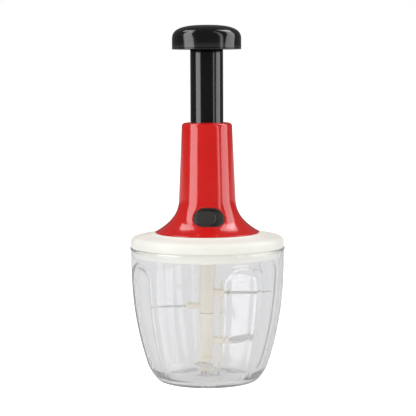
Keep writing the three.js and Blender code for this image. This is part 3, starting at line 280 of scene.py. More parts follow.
def rounded(corners: Sequence[Corner], steps: int = 5, closed: bool = False) -> list[Point]:
    """Draws a profile whose corners are rounded.

    Args:
        corners: Points as radius, height and corner radius, in mm.
        steps: Steps of each rounding.
        closed: Whether the last point runs on to the first.

    Returns:
        The profile's points, in mm.
    """
    points: list[Point] = []
    count = len(corners)
    for i, (x, y, size) in enumerate(corners):
        here = Vector((x, y))
        if size <= 0 or (not closed and i in (0, count - 1)):
            points.append((x, y))
            continue
        before = Vector(corners[i - 1][:2]) - here
        after = Vector(corners[(i + 1) % count][:2]) - here
        reach = CORNER_REACH_SHARE * min(before.length, after.length)
        before.normalize()
        after.normalize()
        half = before.angle(after) / 2
        if half > NEARLY_STRAIGHT:
            points.append((x, y))
            continue
        run = min(size / math.tan(half), reach)
        radius = run * math.tan(half)
        centre = here + (before + after).normalized() * radius / math.sin(half)
        start, end = here + before * run - centre, here + after * run - centre
        turn = math.atan2(start.x * end.y - start.y * end.x, start.dot(end))
        for step in range(steps + 1):
            spoke = Matrix.Rotation(turn * step / steps, 2) @ start
            points.append((centre.x + spoke.x, centre.y + spoke.y))
    return points


def turned(name: str, profile: Sequence[Point], steps: int, closed: bool = False) -> Piece:
    """Turns a profile about Z into a closed body.

    Args:
        name: The piece's name.
        profile: Points as radius and height in mm.
        steps: Steps round the axis.
        closed: Whether the profile is a ring that clears the axis.

    Returns:
        The turned piece, smooth shaded.
    """
    deselect_all()
    line = list(profile) + ([profile[0]] if closed else [])
    bpy.ops.mesh.primitive_plane_add(size=MM)
    piece = bpy.context.active_object
    piece.name = name
    piece.data.name = name
    edit()
    select_mode(Kind.VERTEX)
    bpy.ops.mesh.select_all(action="SELECT")
    bpy.ops.mesh.merge(type="CENTER")
    bpy.ops.transform.translate(value=(line[0][0] * MM, 0, line[0][1] * MM))
    for (r0, z0), (r1, z1) in zip(line, line[1:]):
        extrude(r1 - r0, 0, z1 - z0)
    bpy.ops.mesh.select_all(action="SELECT")
    bpy.ops.mesh.spin(steps=steps, angle=FULL_TURN, center=(0, 0, 0), axis=(0, 0, 1))
    close_edit()
    face_outwards(piece)
    smooth(piece)
    return piece


def block(name: str, low: Sequence[float], high: Sequence[float]) -> Piece:
    """Makes a box from its low corner to its high corner.

    Args:
        name: The piece's name.
        low: Low corner in mm.
        high: High corner in mm.

    Returns:
        The box.
    """
    deselect_all()
    middle = [(a + b) / 2 * MM for a, b in zip(low, high)]
    bpy.ops.mesh.primitive_cube_add(size=1, location=middle)
    piece = bpy.context.active_object
    piece.name = name
    piece.scale = [(b - a) * MM for a, b in zip(low, high)]
    set_place(piece)
    return piece


def hexagon(name: str, flats: float, bottom: float, top: float) -> Piece:
    """Makes a hexagonal bar about Z.

    Args:
        name: The piece's name.
        flats: Width across the flats in mm.
        bottom: Lower end in mm.
        top: Upper end in mm.

    Returns:
        The bar.
    """
    deselect_all()
    corner = flats / 2 / math.cos(math.pi / 6)
    bpy.ops.mesh.primitive_cylinder_add(
        vertices=6, radius=corner * MM, depth=(top - bottom) * MM,
        location=(0, 0, (top + bottom) / 2 * MM), rotation=(0, 0, math.pi / 2),
    )
    piece = bpy.context.active_object
    piece.name = name
    set_place(piece)
    return piece


def obround_plate(name: str, width: float, height: float, vertices: int = 72) -> Piece:
    """Makes a flat obround face in the XY plane, its long side along X.

    Args:
        name: The piece's name.
        width: Whole width in mm.
        height: Whole height in mm.
        vertices: Points round it.

    Returns:
        The plate, one face thick.
    """
    deselect_all()
    bpy.ops.mesh.primitive_circle_add(vertices=vertices, radius=height / 2 * MM, fill_type="NGON")
    plate = bpy.context.active_object
    plate.name = name
    straight = (width - height) / 2 * MM
    for side in (-1, 1):
        edit()
        select_where(plate, Kind.VERTEX, lambda co: co.x * side > DOUBLES)
        bpy.ops.transform.translate(value=(side * straight, 0, 0))
        close_edit()
    return plate


def dress(piece: Piece, material: Material) -> None:
    """Gives a piece one material.

    Args:
        piece: The piece.
        material: Its material.
    """
    piece.data.materials.clear()
    piece.data.materials.append(material)


def fit(piece: Piece, body: Body, material: Material, node: str) -> None:
    """Dresses a piece and seats it on its body.

    Args:
        piece: The finished piece.
        body: The body that it rides on.
        material: Its material.
        node: The node of the frame that it stands for.
    """
    dress(piece, material)
    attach(piece, body.value)
    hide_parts(node)
    log.info("%s: %d faces", piece.name, len(piece.data.polygons))


# Finishes


class NodeBoard:
    """A material's or world's node tree, with short calls to fill it."""

    NOISE_RANGE = (0.3, 0.7)

    def __init__(self, tree: bpy.types.NodeTree) -> None:
        """Starts with an empty tree."""
        self.tree = tree
        tree.nodes.clear()

    def add(self, kind: str, **values: object) -> Node:
        """Adds a node and sets its properties and inputs.

        Args:
            kind: The node's type.
            values: Properties by name, or inputs by name with _ for spaces.

        Returns:
            The node.
        """
        node = self.tree.nodes.new(kind)
        for key, value in values.items():
            if hasattr(node, key):
                setattr(node, key, value)
            else:
                node.inputs[key.replace("_", " ")].default_value = value
        return node

    def link(self, source: Socket, target: Socket) -> None:
        """Links two sockets."""
        self.tree.links.new(source, target)

    def noise(self, scale: float, detail: float, stretch: Triple = (1, 1, 1)) -> Socket:
        """Adds a noise on the piece's own coordinates.

        Args:
            scale: Noise scale, in cells a metre.
            detail: Noise detail.
            stretch: Scale along X, Y and Z.

        Returns:
            The noise's value.
        """
        place = self.add("ShaderNodeTexCoord")
        mapping = self.add("ShaderNodeMapping", Scale=stretch)
        noise = self.add("ShaderNodeTexNoise", Scale=scale, Detail=detail)
        self.link(place.outputs["Object"], mapping.inputs["Vector"])
        self.link(mapping.outputs["Vector"], noise.inputs["Vector"])
        return noise.outputs["Fac"]

    def spread(self, source: Socket, low: float, high: float, span: Pair = NOISE_RANGE) -> Socket:
        """Maps a span of a value, as a rule a noise's middle, to two values.

        Args:
            source: The value.
            low: What the span's low end becomes.
            high: What its high end becomes.
            span: The span's ends.

        Returns:
            The mapped value.
        """
        node = self.add("ShaderNodeMapRange")
        for index, value in enumerate((*span, low, high), start=1):
            node.inputs[index].default_value = value
        self.link(source, node.inputs["Value"])
        return node.outputs["Result"]

    def mix(self, kind: Mix, share: Socket, *ends: Socket | Colour | float) -> Socket:
        """Mixes two levels or colours by a share.

        Args:
            kind: Whether levels or colours are mixed.
            share: The share of the second one.
            ends: What the share mixes, each a socket or a value.

        Returns:
            The mixed level or colour.
        """
        data_type, first, second, result = kind.value
        node = self.add("ShaderNodeMix", data_type=data_type)
        self.link(share, node.inputs[0])
        for index, end in zip((first, second), ends):
            if isinstance(end, Socket):
                self.link(end, node.inputs[index])
            else:
                node.inputs[index].default_value = (*end, 1) if kind is Mix.COLOUR else end
        return node.outputs[result]

    def between(self, source: Socket, colour: Colour, shares: Pair) -> Socket:
        """Mottles a colour with a noise.

        Args:
            source: The noise.
            colour: The colour.
            shares: The colour's level at the noise's low and high end.

        Returns:
            The mottled colour.
        """
        low, high = (shade(colour, share) for share in shares)
        return self.mix(Mix.COLOUR, self.spread(source, 0, 1), low, high)

    def bump(self, source: Socket, strength: float, depth: float) -> Socket:
        """Adds a bump.

        Args:
            source: The height.
            strength: The bump's strength.
            depth: The bump's depth in mm.

        Returns:
            The bumped normal.
        """
        node = self.add("ShaderNodeBump", Strength=strength, Distance=depth * MM)
        self.link(source, node.inputs["Height"])
        return node.outputs["Normal"]


def blank_material(name: str) -> tuple[Material, NodeBoard]:
    """Makes a material whose node tree is empty.

    Args:
        name: The material's name.

    Returns:
        The material and the board that fills it.
    """
    material = bpy.data.materials.new(name)
    material.use_nodes = True
    return material, NodeBoard(material.node_tree)


def coated(name: str, **values: object) -> tuple[Material, NodeBoard, Node]:
    """Makes a material of one principled shader.

    Args:
        name: The material's name.
        values: The shader's inputs by name, with _ for spaces.

    Returns:
        The material, its board and its shader.
    """
    material, board = blank_material(name)
    shader = board.add("ShaderNodeBsdfPrincipled", **values)
    output = board.add("ShaderNodeOutputMaterial")
    board.link(shader.outputs["BSDF"], output.inputs["Surface"])
    return material, board, shader


def linear(red: float, green: float, blue: float) -> Colour:
    """Turns an sRGB colour, 0 to 255, into a shader's linear values."""
    def channel(value: float) -> float:
        """Gives one channel's shader value."""
        share = value / 255
        return share / 12.92 if share <= 0.04045 else ((share + 0.055) / 1.055) ** 2.4
    return channel(red), channel(green), channel(blue)


def shade(colour: Colour, factor: float) -> Colour:
    """Gives a colour made darker or lighter by a factor."""
    return tuple(min(1.0, value * factor) for value in colour)


@dataclass(frozen=True)
class MouldedPlastic:
    """Opaque moulded plastic: faint mottling, a fine skin, and uneven polish."""

    name: str
    colour: Colour
    roughness: float
    skin: float = 0.04
    coat: float = 0.0
    glow: float = 0.0
    gloss: float = 0.5
    refraction: float = 1.5
    coat_roughness: float = 0.03
    glow_radius: Triple = (1, 0.8, 0.6)
    glow_depth: float = 1.5
    mottle_shares: Pair = (0.97, 1.03)
    mottle_noise: Pair = (45, 3)
    polish_shares: Pair = (0.85, 1.2)
    polish_noise: Pair = (90, 4)
    skin_noise: Pair = (700, 2)
    skin_depth: float = 0.05

    def material(self) -> Material:
        """Builds the material.

        Returns:
            The material.
        """
        material, board, shader = coated(
            self.name, IOR=self.refraction, Specular_IOR_Level=self.gloss,
            Coat_Weight=self.coat, Coat_Roughness=self.coat_roughness,
            Subsurface_Weight=self.glow, Subsurface_Radius=self.glow_radius,
            Subsurface_Scale=self.glow_depth * MM,
        )
        tone = board.between(board.noise(*self.mottle_noise), self.colour, self.mottle_shares)
        low, high = (self.roughness * share for share in self.polish_shares)
        polish = board.spread(board.noise(*self.polish_noise), low, high)
        skin = board.bump(board.noise(*self.skin_noise), self.skin, self.skin_depth)
        board.link(tone, shader.inputs["Base Color"])
        board.link(polish, shader.inputs["Roughness"])
        board.link(skin, shader.inputs["Normal"])
        return material


@dataclass(frozen=True)
class ClearPlastic:
    """Clear moulded plastic: a faint grey tint and haze, fine rub marks and flow lines."""

    name: str
    colour: Colour
    roughness: float
    flow: float
    gloss: float = 0.2
    haze: float = 0.07
    refraction: float = 1.49
    tint_shares: Pair = (0.985, 1.01)
    tint_noise: Pair = (30, 3)
    rub_shares: Pair = (0.5, 1.6)
    rub_noise: Pair = (260, 5)
    rub_stretch: Triple = (1, 1, 0.25)
    flow_noise: Pair = (60, 2)
    flow_stretch: Triple = (1, 1, 0.12)
    flow_depth: float = 0.12

    def material(self) -> Material:
        """Builds the material.

        Returns:
            The material.
        """
        material, board, shader = coated(
            self.name, IOR=self.refraction, Transmission_Weight=1 - self.haze,
            Specular_IOR_Level=self.gloss,
        )
        tint = board.between(board.noise(*self.tint_noise), self.colour, self.tint_shares)
        low, high = (self.roughness * share for share in self.rub_shares)
        rub = board.spread(board.noise(*self.rub_noise, self.rub_stretch), low, high)
        lines = board.bump(board.noise(*self.flow_noise, self.flow_stretch), self.flow, self.flow_depth)
        board.link(tint, shader.inputs["Base Color"])
        board.link(rub, shader.inputs["Roughness"])
        board.link(lines, shader.inputs["Normal"])
        return material


@dataclass(frozen=True)
class Steel:
    """Steel with the fine lines of its grinding."""

    name: str
    colour: Colour
    roughness: float
    lines: Triple = (1, 12, 12)
    metallic: float = 1.0
    grain_noise: Pair = (220, 4)
    tone_shares: Pair = (0.86, 1.08)
    polish_shares: Pair = (0.7, 1.35)
    grain: float = 0.12
    grain_depth: float = 0.02

    def material(self) -> Material:
        """Builds the material.

        Returns:
            The material.
        """
        material, board, shader = coated(self.name, Metallic=self.metallic)
        grain = board.noise(*self.grain_noise, self.lines)
        low, high = (self.roughness * share for share in self.polish_shares)
        board.link(board.between(grain, self.colour, self.tone_shares), shader.inputs["Base Color"])
        board.link(board.spread(grain, low, high), shader.inputs["Roughness"])
        board.link(board.bump(grain, self.grain, self.grain_depth), shader.inputs["Normal"])
        return material


@dataclass(frozen=True)
class Finishes:
    """Every finish of the chopper."""

    clear: ClearPlastic = ClearPlastic("clear_bowl", (0.955, 0.957, 0.963), 0.03, 0.05)
    red: MouldedPlastic = MouldedPlastic("tower_red", linear(206, 26, 22), 0.12, coat=0.25)
    lid: MouldedPlastic = MouldedPlastic("lid_cream", linear(241, 240, 232), 0.44, glow=0.08, gloss=0.3)
    cream: MouldedPlastic = MouldedPlastic("column_cream", linear(229, 222, 208), 0.4, glow=0.1)
    black: MouldedPlastic = MouldedPlastic("gloss_black", linear(12, 12, 14), 0.13, coat=0.15)
    inner_black: MouldedPlastic = MouldedPlastic("underplate_black", linear(22, 22, 23), 0.5)
    dark: MouldedPlastic = MouldedPlastic("lock_dark", linear(50, 45, 44), 0.38, skin=0.12)
    blade: Steel = Steel("blade_steel", (0.68, 0.685, 0.71), 0.24, metallic=0.66)
    steel: Steel = Steel("plain_steel", (0.5, 0.51, 0.53), 0.3, (6, 6, 1))
    bright_steel: Steel = Steel("bright_steel", (0.7, 0.7, 0.7), 0.3, (6, 6, 1), 0.5)


# The sizes that several sub-assemblies share, in mm


@dataclass(frozen=True)
class Stack:
    """Heights and radii that more than one sub-assembly meets at."""

    bowl_height: float = 108.5
    mouth_r: float = 61.8
    bowl_wall: float = 2.5
    lid_top: float = 120.0
    tube_r: float = 13.2
    tube_bottom: float = 187.0
    tube_top: float = 276.0
    tower_top: float = 207.0
    bearing_bottom: float = 106.0
    hub_bottom: float = 96.0
    column_r: float = 7.05
    seam_z: float = 54.6
    stroke: float = 57.0


STACK = Stack()


def spaced(low: float, high: float, pitch: float) -> list[float]:
    """Gives evenly spaced values from low to high, about a pitch apart."""
    count = max(1, round((high - low) / pitch))
    return [low + (high - low) * step / count for step in range(count + 1)]


def eased(share: float) -> float:
    """Gives a share that starts and ends gently."""
    return share * share * (3 - 2 * share)


# Sub-assemblies, with sizes in mm and angles in degrees


@dataclass
class Bowl:
    """The clear bowl with its four arched panels, and the pin in its floor."""

    draw: float = 17.8
    draw_power: float = 2.25
    upright_z: float = 100.5
    floor_z: float = 3.4
    corner: float = 12.0
    inner_corner: float = 8.8
    corner_reach_share: float = 0.6
    lean_step: float = 1.0
    corner_steps: int = 12
    foot_r: float = 38.9
    foot_inner_r: float = 31.4
    foot_round: float = 0.6
    hollow: float = 1.2
    rim_proud: float = 0.7
    rim_round: float = 0.5
    rim_depth: float = 2.0
    lip_height: float = 2.4
    lip_run: float = 0.8
    wall_pitch: float = 1.0
    inner_pitch: float = 1.25
    inner_land: float = 1.2
    panel_count: int = 4
    panel_first: float = -63.6
    panel_recess: float = 1.3
    spring_z: float = 84.6
    outer_panel: tuple[float, float, float, float] = (14.4, 18.0, 11.8, 15.6)
    inner_panel: tuple[float, float, float, float] = (12.0, 21.6, 8.4, 17.3)
    eased_share: float = 0.2
    boss_r: float = 6.2
    boss_flare: float = 0.4
    boss_foot_round: float = 1.6
    boss_round: float = 0.6
    boss_top_r: float = 5.2
    boss_top_z: float = 7.6
    pin_r: float = 2.0
    pin_fit: float = 0.1
    pin_seat_z: float = 2.8
    pin_top_z: float = 20.0
    pin_round: float = 0.2
    pin_point_round: float = 0.8
    pin_steps: int = 40
    steps: int = 300
    crease: float = 40

    def radius(self, height: float) -> float:
        """Gives the outer wall's radius at a height."""
        below = max(0.0, 1 - height / self.upright_z)
        return STACK.mouth_r - self.draw * below ** self.draw_power

    def corner_line(self, start_r: float, start_z: float, top_z: float, inset: float) -> list[Point]:
        """Draws the rounded corner between the foot or floor and the wall.

        Args:
            start_r: Radius where it leaves the flat.
            start_z: Height of the flat.
            top_z: Height where it meets the wall.
            inset: How far the wall's skin is drawn in.

        Returns:
            Points from the flat up to the wall.
        """
        top_r = self.radius(top_z) - inset
        lean = (self.radius(top_z) - self.radius(top_z - self.lean_step)) / self.lean_step
        bend_r = start_r + self.corner_reach_share * (top_r - lean * (top_z - start_z) - start_r)
        points = []
        for step in range(1, self.corner_steps + 1):
            share = step / self.corner_steps
            rest = 1 - share
            across = rest * rest * start_r + 2 * rest * share * bend_r + share * share * top_r
            points.append((across, start_z + share * share * (top_z - start_z)))
        return points

    def profile(self) -> list[Point]:
        """Draws the section from under the foot, over the rim, to the pin's seat.

        Returns:
            The section's points.
        """
        lip_z, rim_z = STACK.bowl_height - self.lip_height, STACK.bowl_height
        rim_r = STACK.mouth_r + self.rim_proud
        inner_r = STACK.mouth_r - STACK.bowl_wall
        floor_r = self.foot_r - STACK.bowl_wall
        foot = rounded([
            (0, self.hollow, 0), (self.foot_inner_r, self.hollow, self.foot_round),
            (self.foot_inner_r + self.hollow, 0, self.foot_round), (self.foot_r, 0, 0),
        ])
        outer_foot = self.corner_line(self.foot_r, 0, self.corner, 0)
        heights = spaced(self.corner + self.wall_pitch, lip_z - self.wall_pitch, self.wall_pitch)
        outer = [(self.radius(z), z) for z in heights]
        rim = rounded([
            (STACK.mouth_r, lip_z - self.lip_run, 0), (STACK.mouth_r, lip_z, self.rim_round),
            (rim_r, lip_z + self.rim_proud, self.rim_round), (rim_r, rim_z, self.rim_round),
            (inner_r, rim_z, self.rim_round), (inner_r, rim_z - self.rim_depth, 0),
        ], steps=4)
        inner_top = self.floor_z + self.inner_corner
        heights = spaced(inner_top + self.wall_pitch, lip_z - self.inner_land, self.inner_pitch)
        inner = [(self.radius(z) - STACK.bowl_wall, z) for z in heights]
        inner_foot = self.corner_line(floor_r, self.floor_z, inner_top, STACK.bowl_wall)
        hole_r = self.pin_r + self.pin_fit
        boss = rounded([
            (floor_r, self.floor_z, 0), (self.boss_r + self.boss_flare, self.floor_z, self.boss_foot_round),
            (self.boss_top_r, self.boss_top_z, self.boss_round), (hole_r, self.boss_top_z, self.pin_round),
            (hole_r, self.pin_seat_z, 0), (0, self.pin_seat_z, 0),
        ])
        return foot + outer_foot + outer + rim + inner[::-1] + inner_foot[::-1] + boss

    def panel_share(self, angle: float, height: float, panel: Sequence[float]) -> float:
        """Says how deep the panels' recess is at a place on the wall.

        Args:
            angle: The place's direction in degrees.
            height: Its height in mm.
            panel: Half angle of the flat and of the bevel, and the rises of their arches.

        Returns:
            The share of the full recess, 0 to 1.
        """
        flat_half, bevel_half, flat_rise, bevel_rise = panel
        pitch = 360 / self.panel_count
        offset = abs((angle - self.panel_first + pitch / 2) % pitch - pitch / 2)
        rise = max(0.0, height - self.spring_z)
        inside = math.hypot(offset / flat_half, rise / flat_rise) - 1
        outside = 1 - math.hypot(offset / bevel_half, rise / bevel_rise)
        if outside <= 0:
            return 0.0
        if inside <= 0:
            return 1.0
        share = outside / (outside + inside)
        return (1 - self.eased_share) * share + self.eased_share * eased(share)

    def pressed(self, co: Vector) -> Vector:
        """Presses a point of the wall in where a panel is.

        Args:
            co: The point.

        Returns:
            Its new place.
        """
        across, height = math.hypot(co.x, co.y) / MM, co.z / MM
        on_floor = across < self.foot_r - STACK.bowl_wall - SLACK
        if on_floor or height > STACK.bowl_height - self.lip_height:
            return co
        outer_gap = abs(across - self.radius(height))
        inner_gap = abs(across - self.radius(height) + STACK.bowl_wall)
        if outer_gap < inner_gap:
            base, top, panel = 0.0, self.corner, self.outer_panel
        else:
            base, top, panel = self.floor_z, self.floor_z + self.inner_corner, self.inner_panel
        fade = min(1.0, max(0.0, (height - base) / (top - base)))
        angle = math.degrees(math.atan2(co.y, co.x))
        share = self.panel_share(angle, height, panel) * math.sqrt(fade)
        factor = 1 - self.panel_recess * share / across
        return Vector((co.x * factor, co.y * factor, co.z))

    def build(self, finishes: Finishes) -> None:
        """Builds the bowl and its pin.

        Args:
            finishes: The chopper's finishes.
        """
        bowl = turned("clear_bowl", self.profile(), self.steps)
        move_points(bowl, self.pressed)
        smooth(bowl, self.crease)
        bowl.visible_shadow = False
        bowl.visible_diffuse = False
        fit(bowl, Body.BOWL, finishes.clear.material(), "bowl")
        pin = turned("floor_pin", rounded([
            (0, self.pin_seat_z, 0), (self.pin_r, self.pin_seat_z, self.pin_round),
            (self.pin_r, self.pin_top_z, self.pin_point_round), (0, self.pin_top_z, 0),
        ]), self.pin_steps)
        fit(pin, Body.BOWL, finishes.bright_steel.material(), "pivot_pin")


@dataclass
class Tower:
    """The red tower: a bell whose front is opened for the lock."""

    shoulder_r: float = 20.3
    taper: float = 3.8
    spread: float = 19.3
    flare_height: float = 28.0
    flare_power: float = 2.55
    flare_pitch: float = 0.75
    flare_end: float = 150.0
    column_pitch: float = 3.0
    foot_lip: float = 0.8
    foot_rounds: Pair = (0.15, 0.35)
    foot_run: float = 0.3
    wall: float = 2.4
    edge_r: float = 4.2
    crown: float = 2.2
    crown_drop: float = 0.7
    head_run: float = 4.0
    inner_head_run: float = 8.0
    head_steps: int = 8
    bore_r: float = 13.5
    bore_round: float = 0.8
    collar_r: float = 15.5
    collar_round: float = 0.3
    collar_bottom: float = 191.1
    ceiling_round: float = 2.0
    steps: int = 144
    crease: float = 45
    lock_tilt: float = 26.0
    lock_z: float = 133.0
    lock_floor_y: float = 23.7
    lock_side: float = 1.2
    lock_width: float = 24.9
    lock_height: float = 16.6
    lip_r: float = 0.9
    window_half: int = 19
    window_low: float = 122.0
    window_high: float = 148.0
    skin_slack: float = 0.06
    skin_span: Pair = (-14.0, 22.0)
    halvings: int = 40
    skin_shares: tuple[float, ...] = (0.16, 0.33, 0.5, 0.66, 0.8, 0.91, 1.0)
    lip_turns: tuple[float, ...] = (15, 30, 45, 60, 75, 90)

    def radius(self, height: float) -> float:
        """Gives the bell's outer radius at a height.

        Args:
            height: The height in mm.

        Returns:
            The radius in mm.
        """
        widening = self.taper * (STACK.tower_top - height) / (STACK.tower_top - STACK.lid_top)
        below = max(0.0, 1 - (height - STACK.lid_top) / self.flare_height)
        return self.shoulder_r + widening + self.spread * below ** self.flare_power

    def inner_radius(self, height: float) -> float:
        """Gives the bell's inner radius at a height."""
        slope = (self.radius(height) - self.radius(height + SLOPE_STEP)) / SLOPE_STEP
        return self.radius(height) - self.wall * math.hypot(1, slope)

    def skin_line(self, skin: Skin, low: float, high: float) -> tuple[list[Point], list[Point]]:
        """Draws one skin of the bell.

        Args:
            skin: The skin's radius at a height.
            low: Height of its foot.
            high: Height where its column ends.

        Returns:
            The points of its flare and those of its column.
        """
        flare = [(skin(z), z) for z in spaced(low, self.flare_end, self.flare_pitch)]
        column_foot = self.flare_end + self.column_pitch
        return flare, [(skin(z), z) for z in spaced(column_foot, high, self.column_pitch)]

    def profile(self) -> list[Point]:
        """Draws the bell's section, outside up and inside down.

        Returns:
            The section's points.
        """
        foot_z, top = STACK.lid_top + self.foot_lip, STACK.tower_top
        foot_r, top_r, ceiling = self.radius(foot_z), self.radius(top), top - self.wall
        inner_top = top - self.inner_head_run
        flare, column = self.skin_line(self.radius, foot_z + self.foot_run, top - self.head_run)
        inside, inner_column = self.skin_line(self.inner_radius, STACK.lid_top, inner_top - self.head_run)
        head = rounded([
            (*column[-1], 0), (top_r, top + self.crown - self.crown_drop, self.edge_r),
            (self.bore_r, top + self.crown, self.bore_round),
            (self.bore_r, self.collar_bottom, self.collar_round),
            (self.collar_r, self.collar_bottom, self.collar_round),
            (self.collar_r, ceiling, self.bore_round), (top_r - self.wall, ceiling, self.ceiling_round),
            (self.inner_radius(inner_top), inner_top, 0),
        ], self.head_steps)
        foot = rounded([
            (inside[0][0], STACK.lid_top, 0), (foot_r, STACK.lid_top, self.foot_rounds[0]),
            (foot_r, foot_z, self.foot_rounds[1]), (*flare[0], 0),
        ], steps=3)
        return foot + flare[1:] + column[:-1] + head + inner_column[::-1] + inside[::-1][:-1]

    def on_face(self, across: float, up: float, out: float) -> Vector:
        """Gives the place of a point drawn on the lock's tilted face.

        Args:
            across: To the right, in mm.
            up: Up the face, in mm.
            out: Out of the tower, in mm.

        Returns:
            The place in mm.
        """
        tilt = math.radians(self.lock_tilt)
        return Vector((
            across + self.lock_side,
            -self.lock_floor_y - out * math.cos(tilt) + up * math.sin(tilt),
            self.lock_z + up * math.cos(tilt) + out * math.sin(tilt),
        ))

    def polar(self, co: Vector) -> Pair:
        """Gives where a point lies on the lock's face, seen from its middle.

        Args:
            co: The point, in metres.

        Returns:
            Its direction, and its distance in mm.
        """
        tilt = math.radians(self.lock_tilt)
        place = co / MM
        across = place.x - self.lock_side
        y, z = place.y + self.lock_floor_y, place.z - self.lock_z
        up = y * math.sin(tilt) + z * math.cos(tilt)
        return math.atan2(up, across), math.hypot(across, up)

    def skin_out(self, across: float, up: float, skin: Skin) -> float:
        """Finds how far out of the face a skin of the bell lies.

        Args:
            across: To the right, in mm.
            up: Up the face, in mm.
            skin: The skin's radius at a height.

        Returns:
            The distance out in mm.
        """
        low, high = self.skin_span
        for _ in range(self.halvings):
            middle = (low + high) / 2
            place = self.on_face(across, up, middle)
            inside = math.hypot(place.x, place.y) < skin(place.z)
            low, high = (middle, high) if inside else (low, middle)
        return (low + high) / 2

    def outline_reach(self, angle: float, grow: float) -> float:
        """Gives the distance from the lock's middle to its obround outline.

        Args:
            angle: Direction on the face.
            grow: How far the outline is drawn outwards, in mm.

        Returns:
            The distance in mm.
        """
        radius = self.lock_height / 2 + grow
        straight = (self.lock_width - self.lock_height) / 2
        cos, sin = abs(math.cos(angle)), abs(math.sin(angle))
        if sin * straight >= cos * radius:
            return radius / sin
        return straight * cos + math.sqrt(max(0.0, radius ** 2 - (straight * sin) ** 2))

    def open_window(self, bell: Piece, skin: Skin) -> dict[float, float]:
        """Opens the window in one skin of the bell and selects every open edge.

        Args:
            bell: The bell.
            skin: The skin's radius at a height.

        Returns:
            The open edges' distance on the lock's face by their direction.
        """
        half = (self.window_half - 0.5) * 360 / self.steps + SLACK

        def in_window(co: Vector) -> bool:
            """Says whether a face of the skin is in the window.

            Args:
                co: The face's middle.

            Returns:
                Whether it is.
            """
            height, across = co.z / MM, math.hypot(co.x, co.y) / MM
            away = abs(math.degrees(math.atan2(co.y, co.x)) + 90)
            beside = abs(across - skin(height)) < self.skin_slack
            return self.window_low < height < self.window_high and away < half and beside

        edit()
        select_where(bell, Kind.FACE, in_window)
        bpy.ops.mesh.delete(type="FACE")
        select_open_edges()
        close_edit()
        return dict(self.polar(vertex.co) for vertex in bell.data.vertices if vertex.select)

    def sink_rings(self, bell: Piece, reaches: dict[float, float], rings: Sequence[Ring]) -> None:
        """Extrudes the selected edge ring by ring to given places.

        Args:
            bell: The bell, in object mode, with the edge selected.
            reaches: The edge's distance on the face by its direction.
            rings: Each gives a ring's place from the direction and the edge's distance.
        """
        for ring in rings:
            edit()
            extrude(0, 0, 0)
            close_edit()
            for vertex in bell.data.vertices:
                if vertex.select:
                    angle, _ = self.polar(vertex.co)
                    key = min(reaches, key=lambda known: abs(known - angle))
                    vertex.co = ring(key, reaches[key]) * MM
        bell.data.update()

    def ring_place(self, angle: float, reach: float, sunk: float) -> Vector:
        """Gives the place of a ring's point.

        Args:
            angle: Its direction on the face.
            reach: Its distance from the lock's middle, in mm.
            sunk: How deep it lies under the outer skin, in mm.

        Returns:
            The place in mm.
        """
        across, up = reach * math.cos(angle), reach * math.sin(angle)
        return self.on_face(across, up, self.skin_out(across, up, self.radius) - sunk)

    def skin_ring(self, share: float) -> Ring:
        """Gives a ring on the skin.

        Args:
            share: Its share of the way from the window's edge to the lip.

        Returns:
            The rule for its places.
        """
        def place(angle: float, edge: float) -> Vector:
            """Gives the ring's place in a direction."""
            reach = edge + share * (self.outline_reach(angle, self.lip_r) - edge)
            return self.ring_place(angle, reach, 0)
        return place

    def lip_ring(self, degrees: float) -> Ring:
        """Gives a ring of the lip's rounding.

        Args:
            degrees: How far round the lip it lies.

        Returns:
            The rule for its places.
        """
        turn = math.radians(degrees)

        def place(angle: float, _: float) -> Vector:
            """Gives the ring's place in a direction."""
            reach = self.outline_reach(angle, self.lip_r * (1 - math.sin(turn)))
            return self.ring_place(angle, reach, self.lip_r * (1 - math.cos(turn)))
        return place

    def build(self, finishes: Finishes) -> None:
        """Builds the bell with the pocket for the lock.

        Args:
            finishes: The chopper's finishes.
        """
        bell = turned("red_tower", self.profile(), self.steps, closed=True)
        rings = [self.skin_ring(share) for share in self.skin_shares]
        rings += [self.lip_ring(turn) for turn in self.lip_turns]
        self.sink_rings(bell, self.open_window(bell, self.radius), rings)
        self.open_window(bell, self.inner_radius)
        edit()
        bpy.ops.mesh.bridge_edge_loops()
        close_edit()
        face_outwards(bell)
        smooth(bell, self.crease)
        fit(bell, Body.LID, finishes.red.material(), "tower_housing")


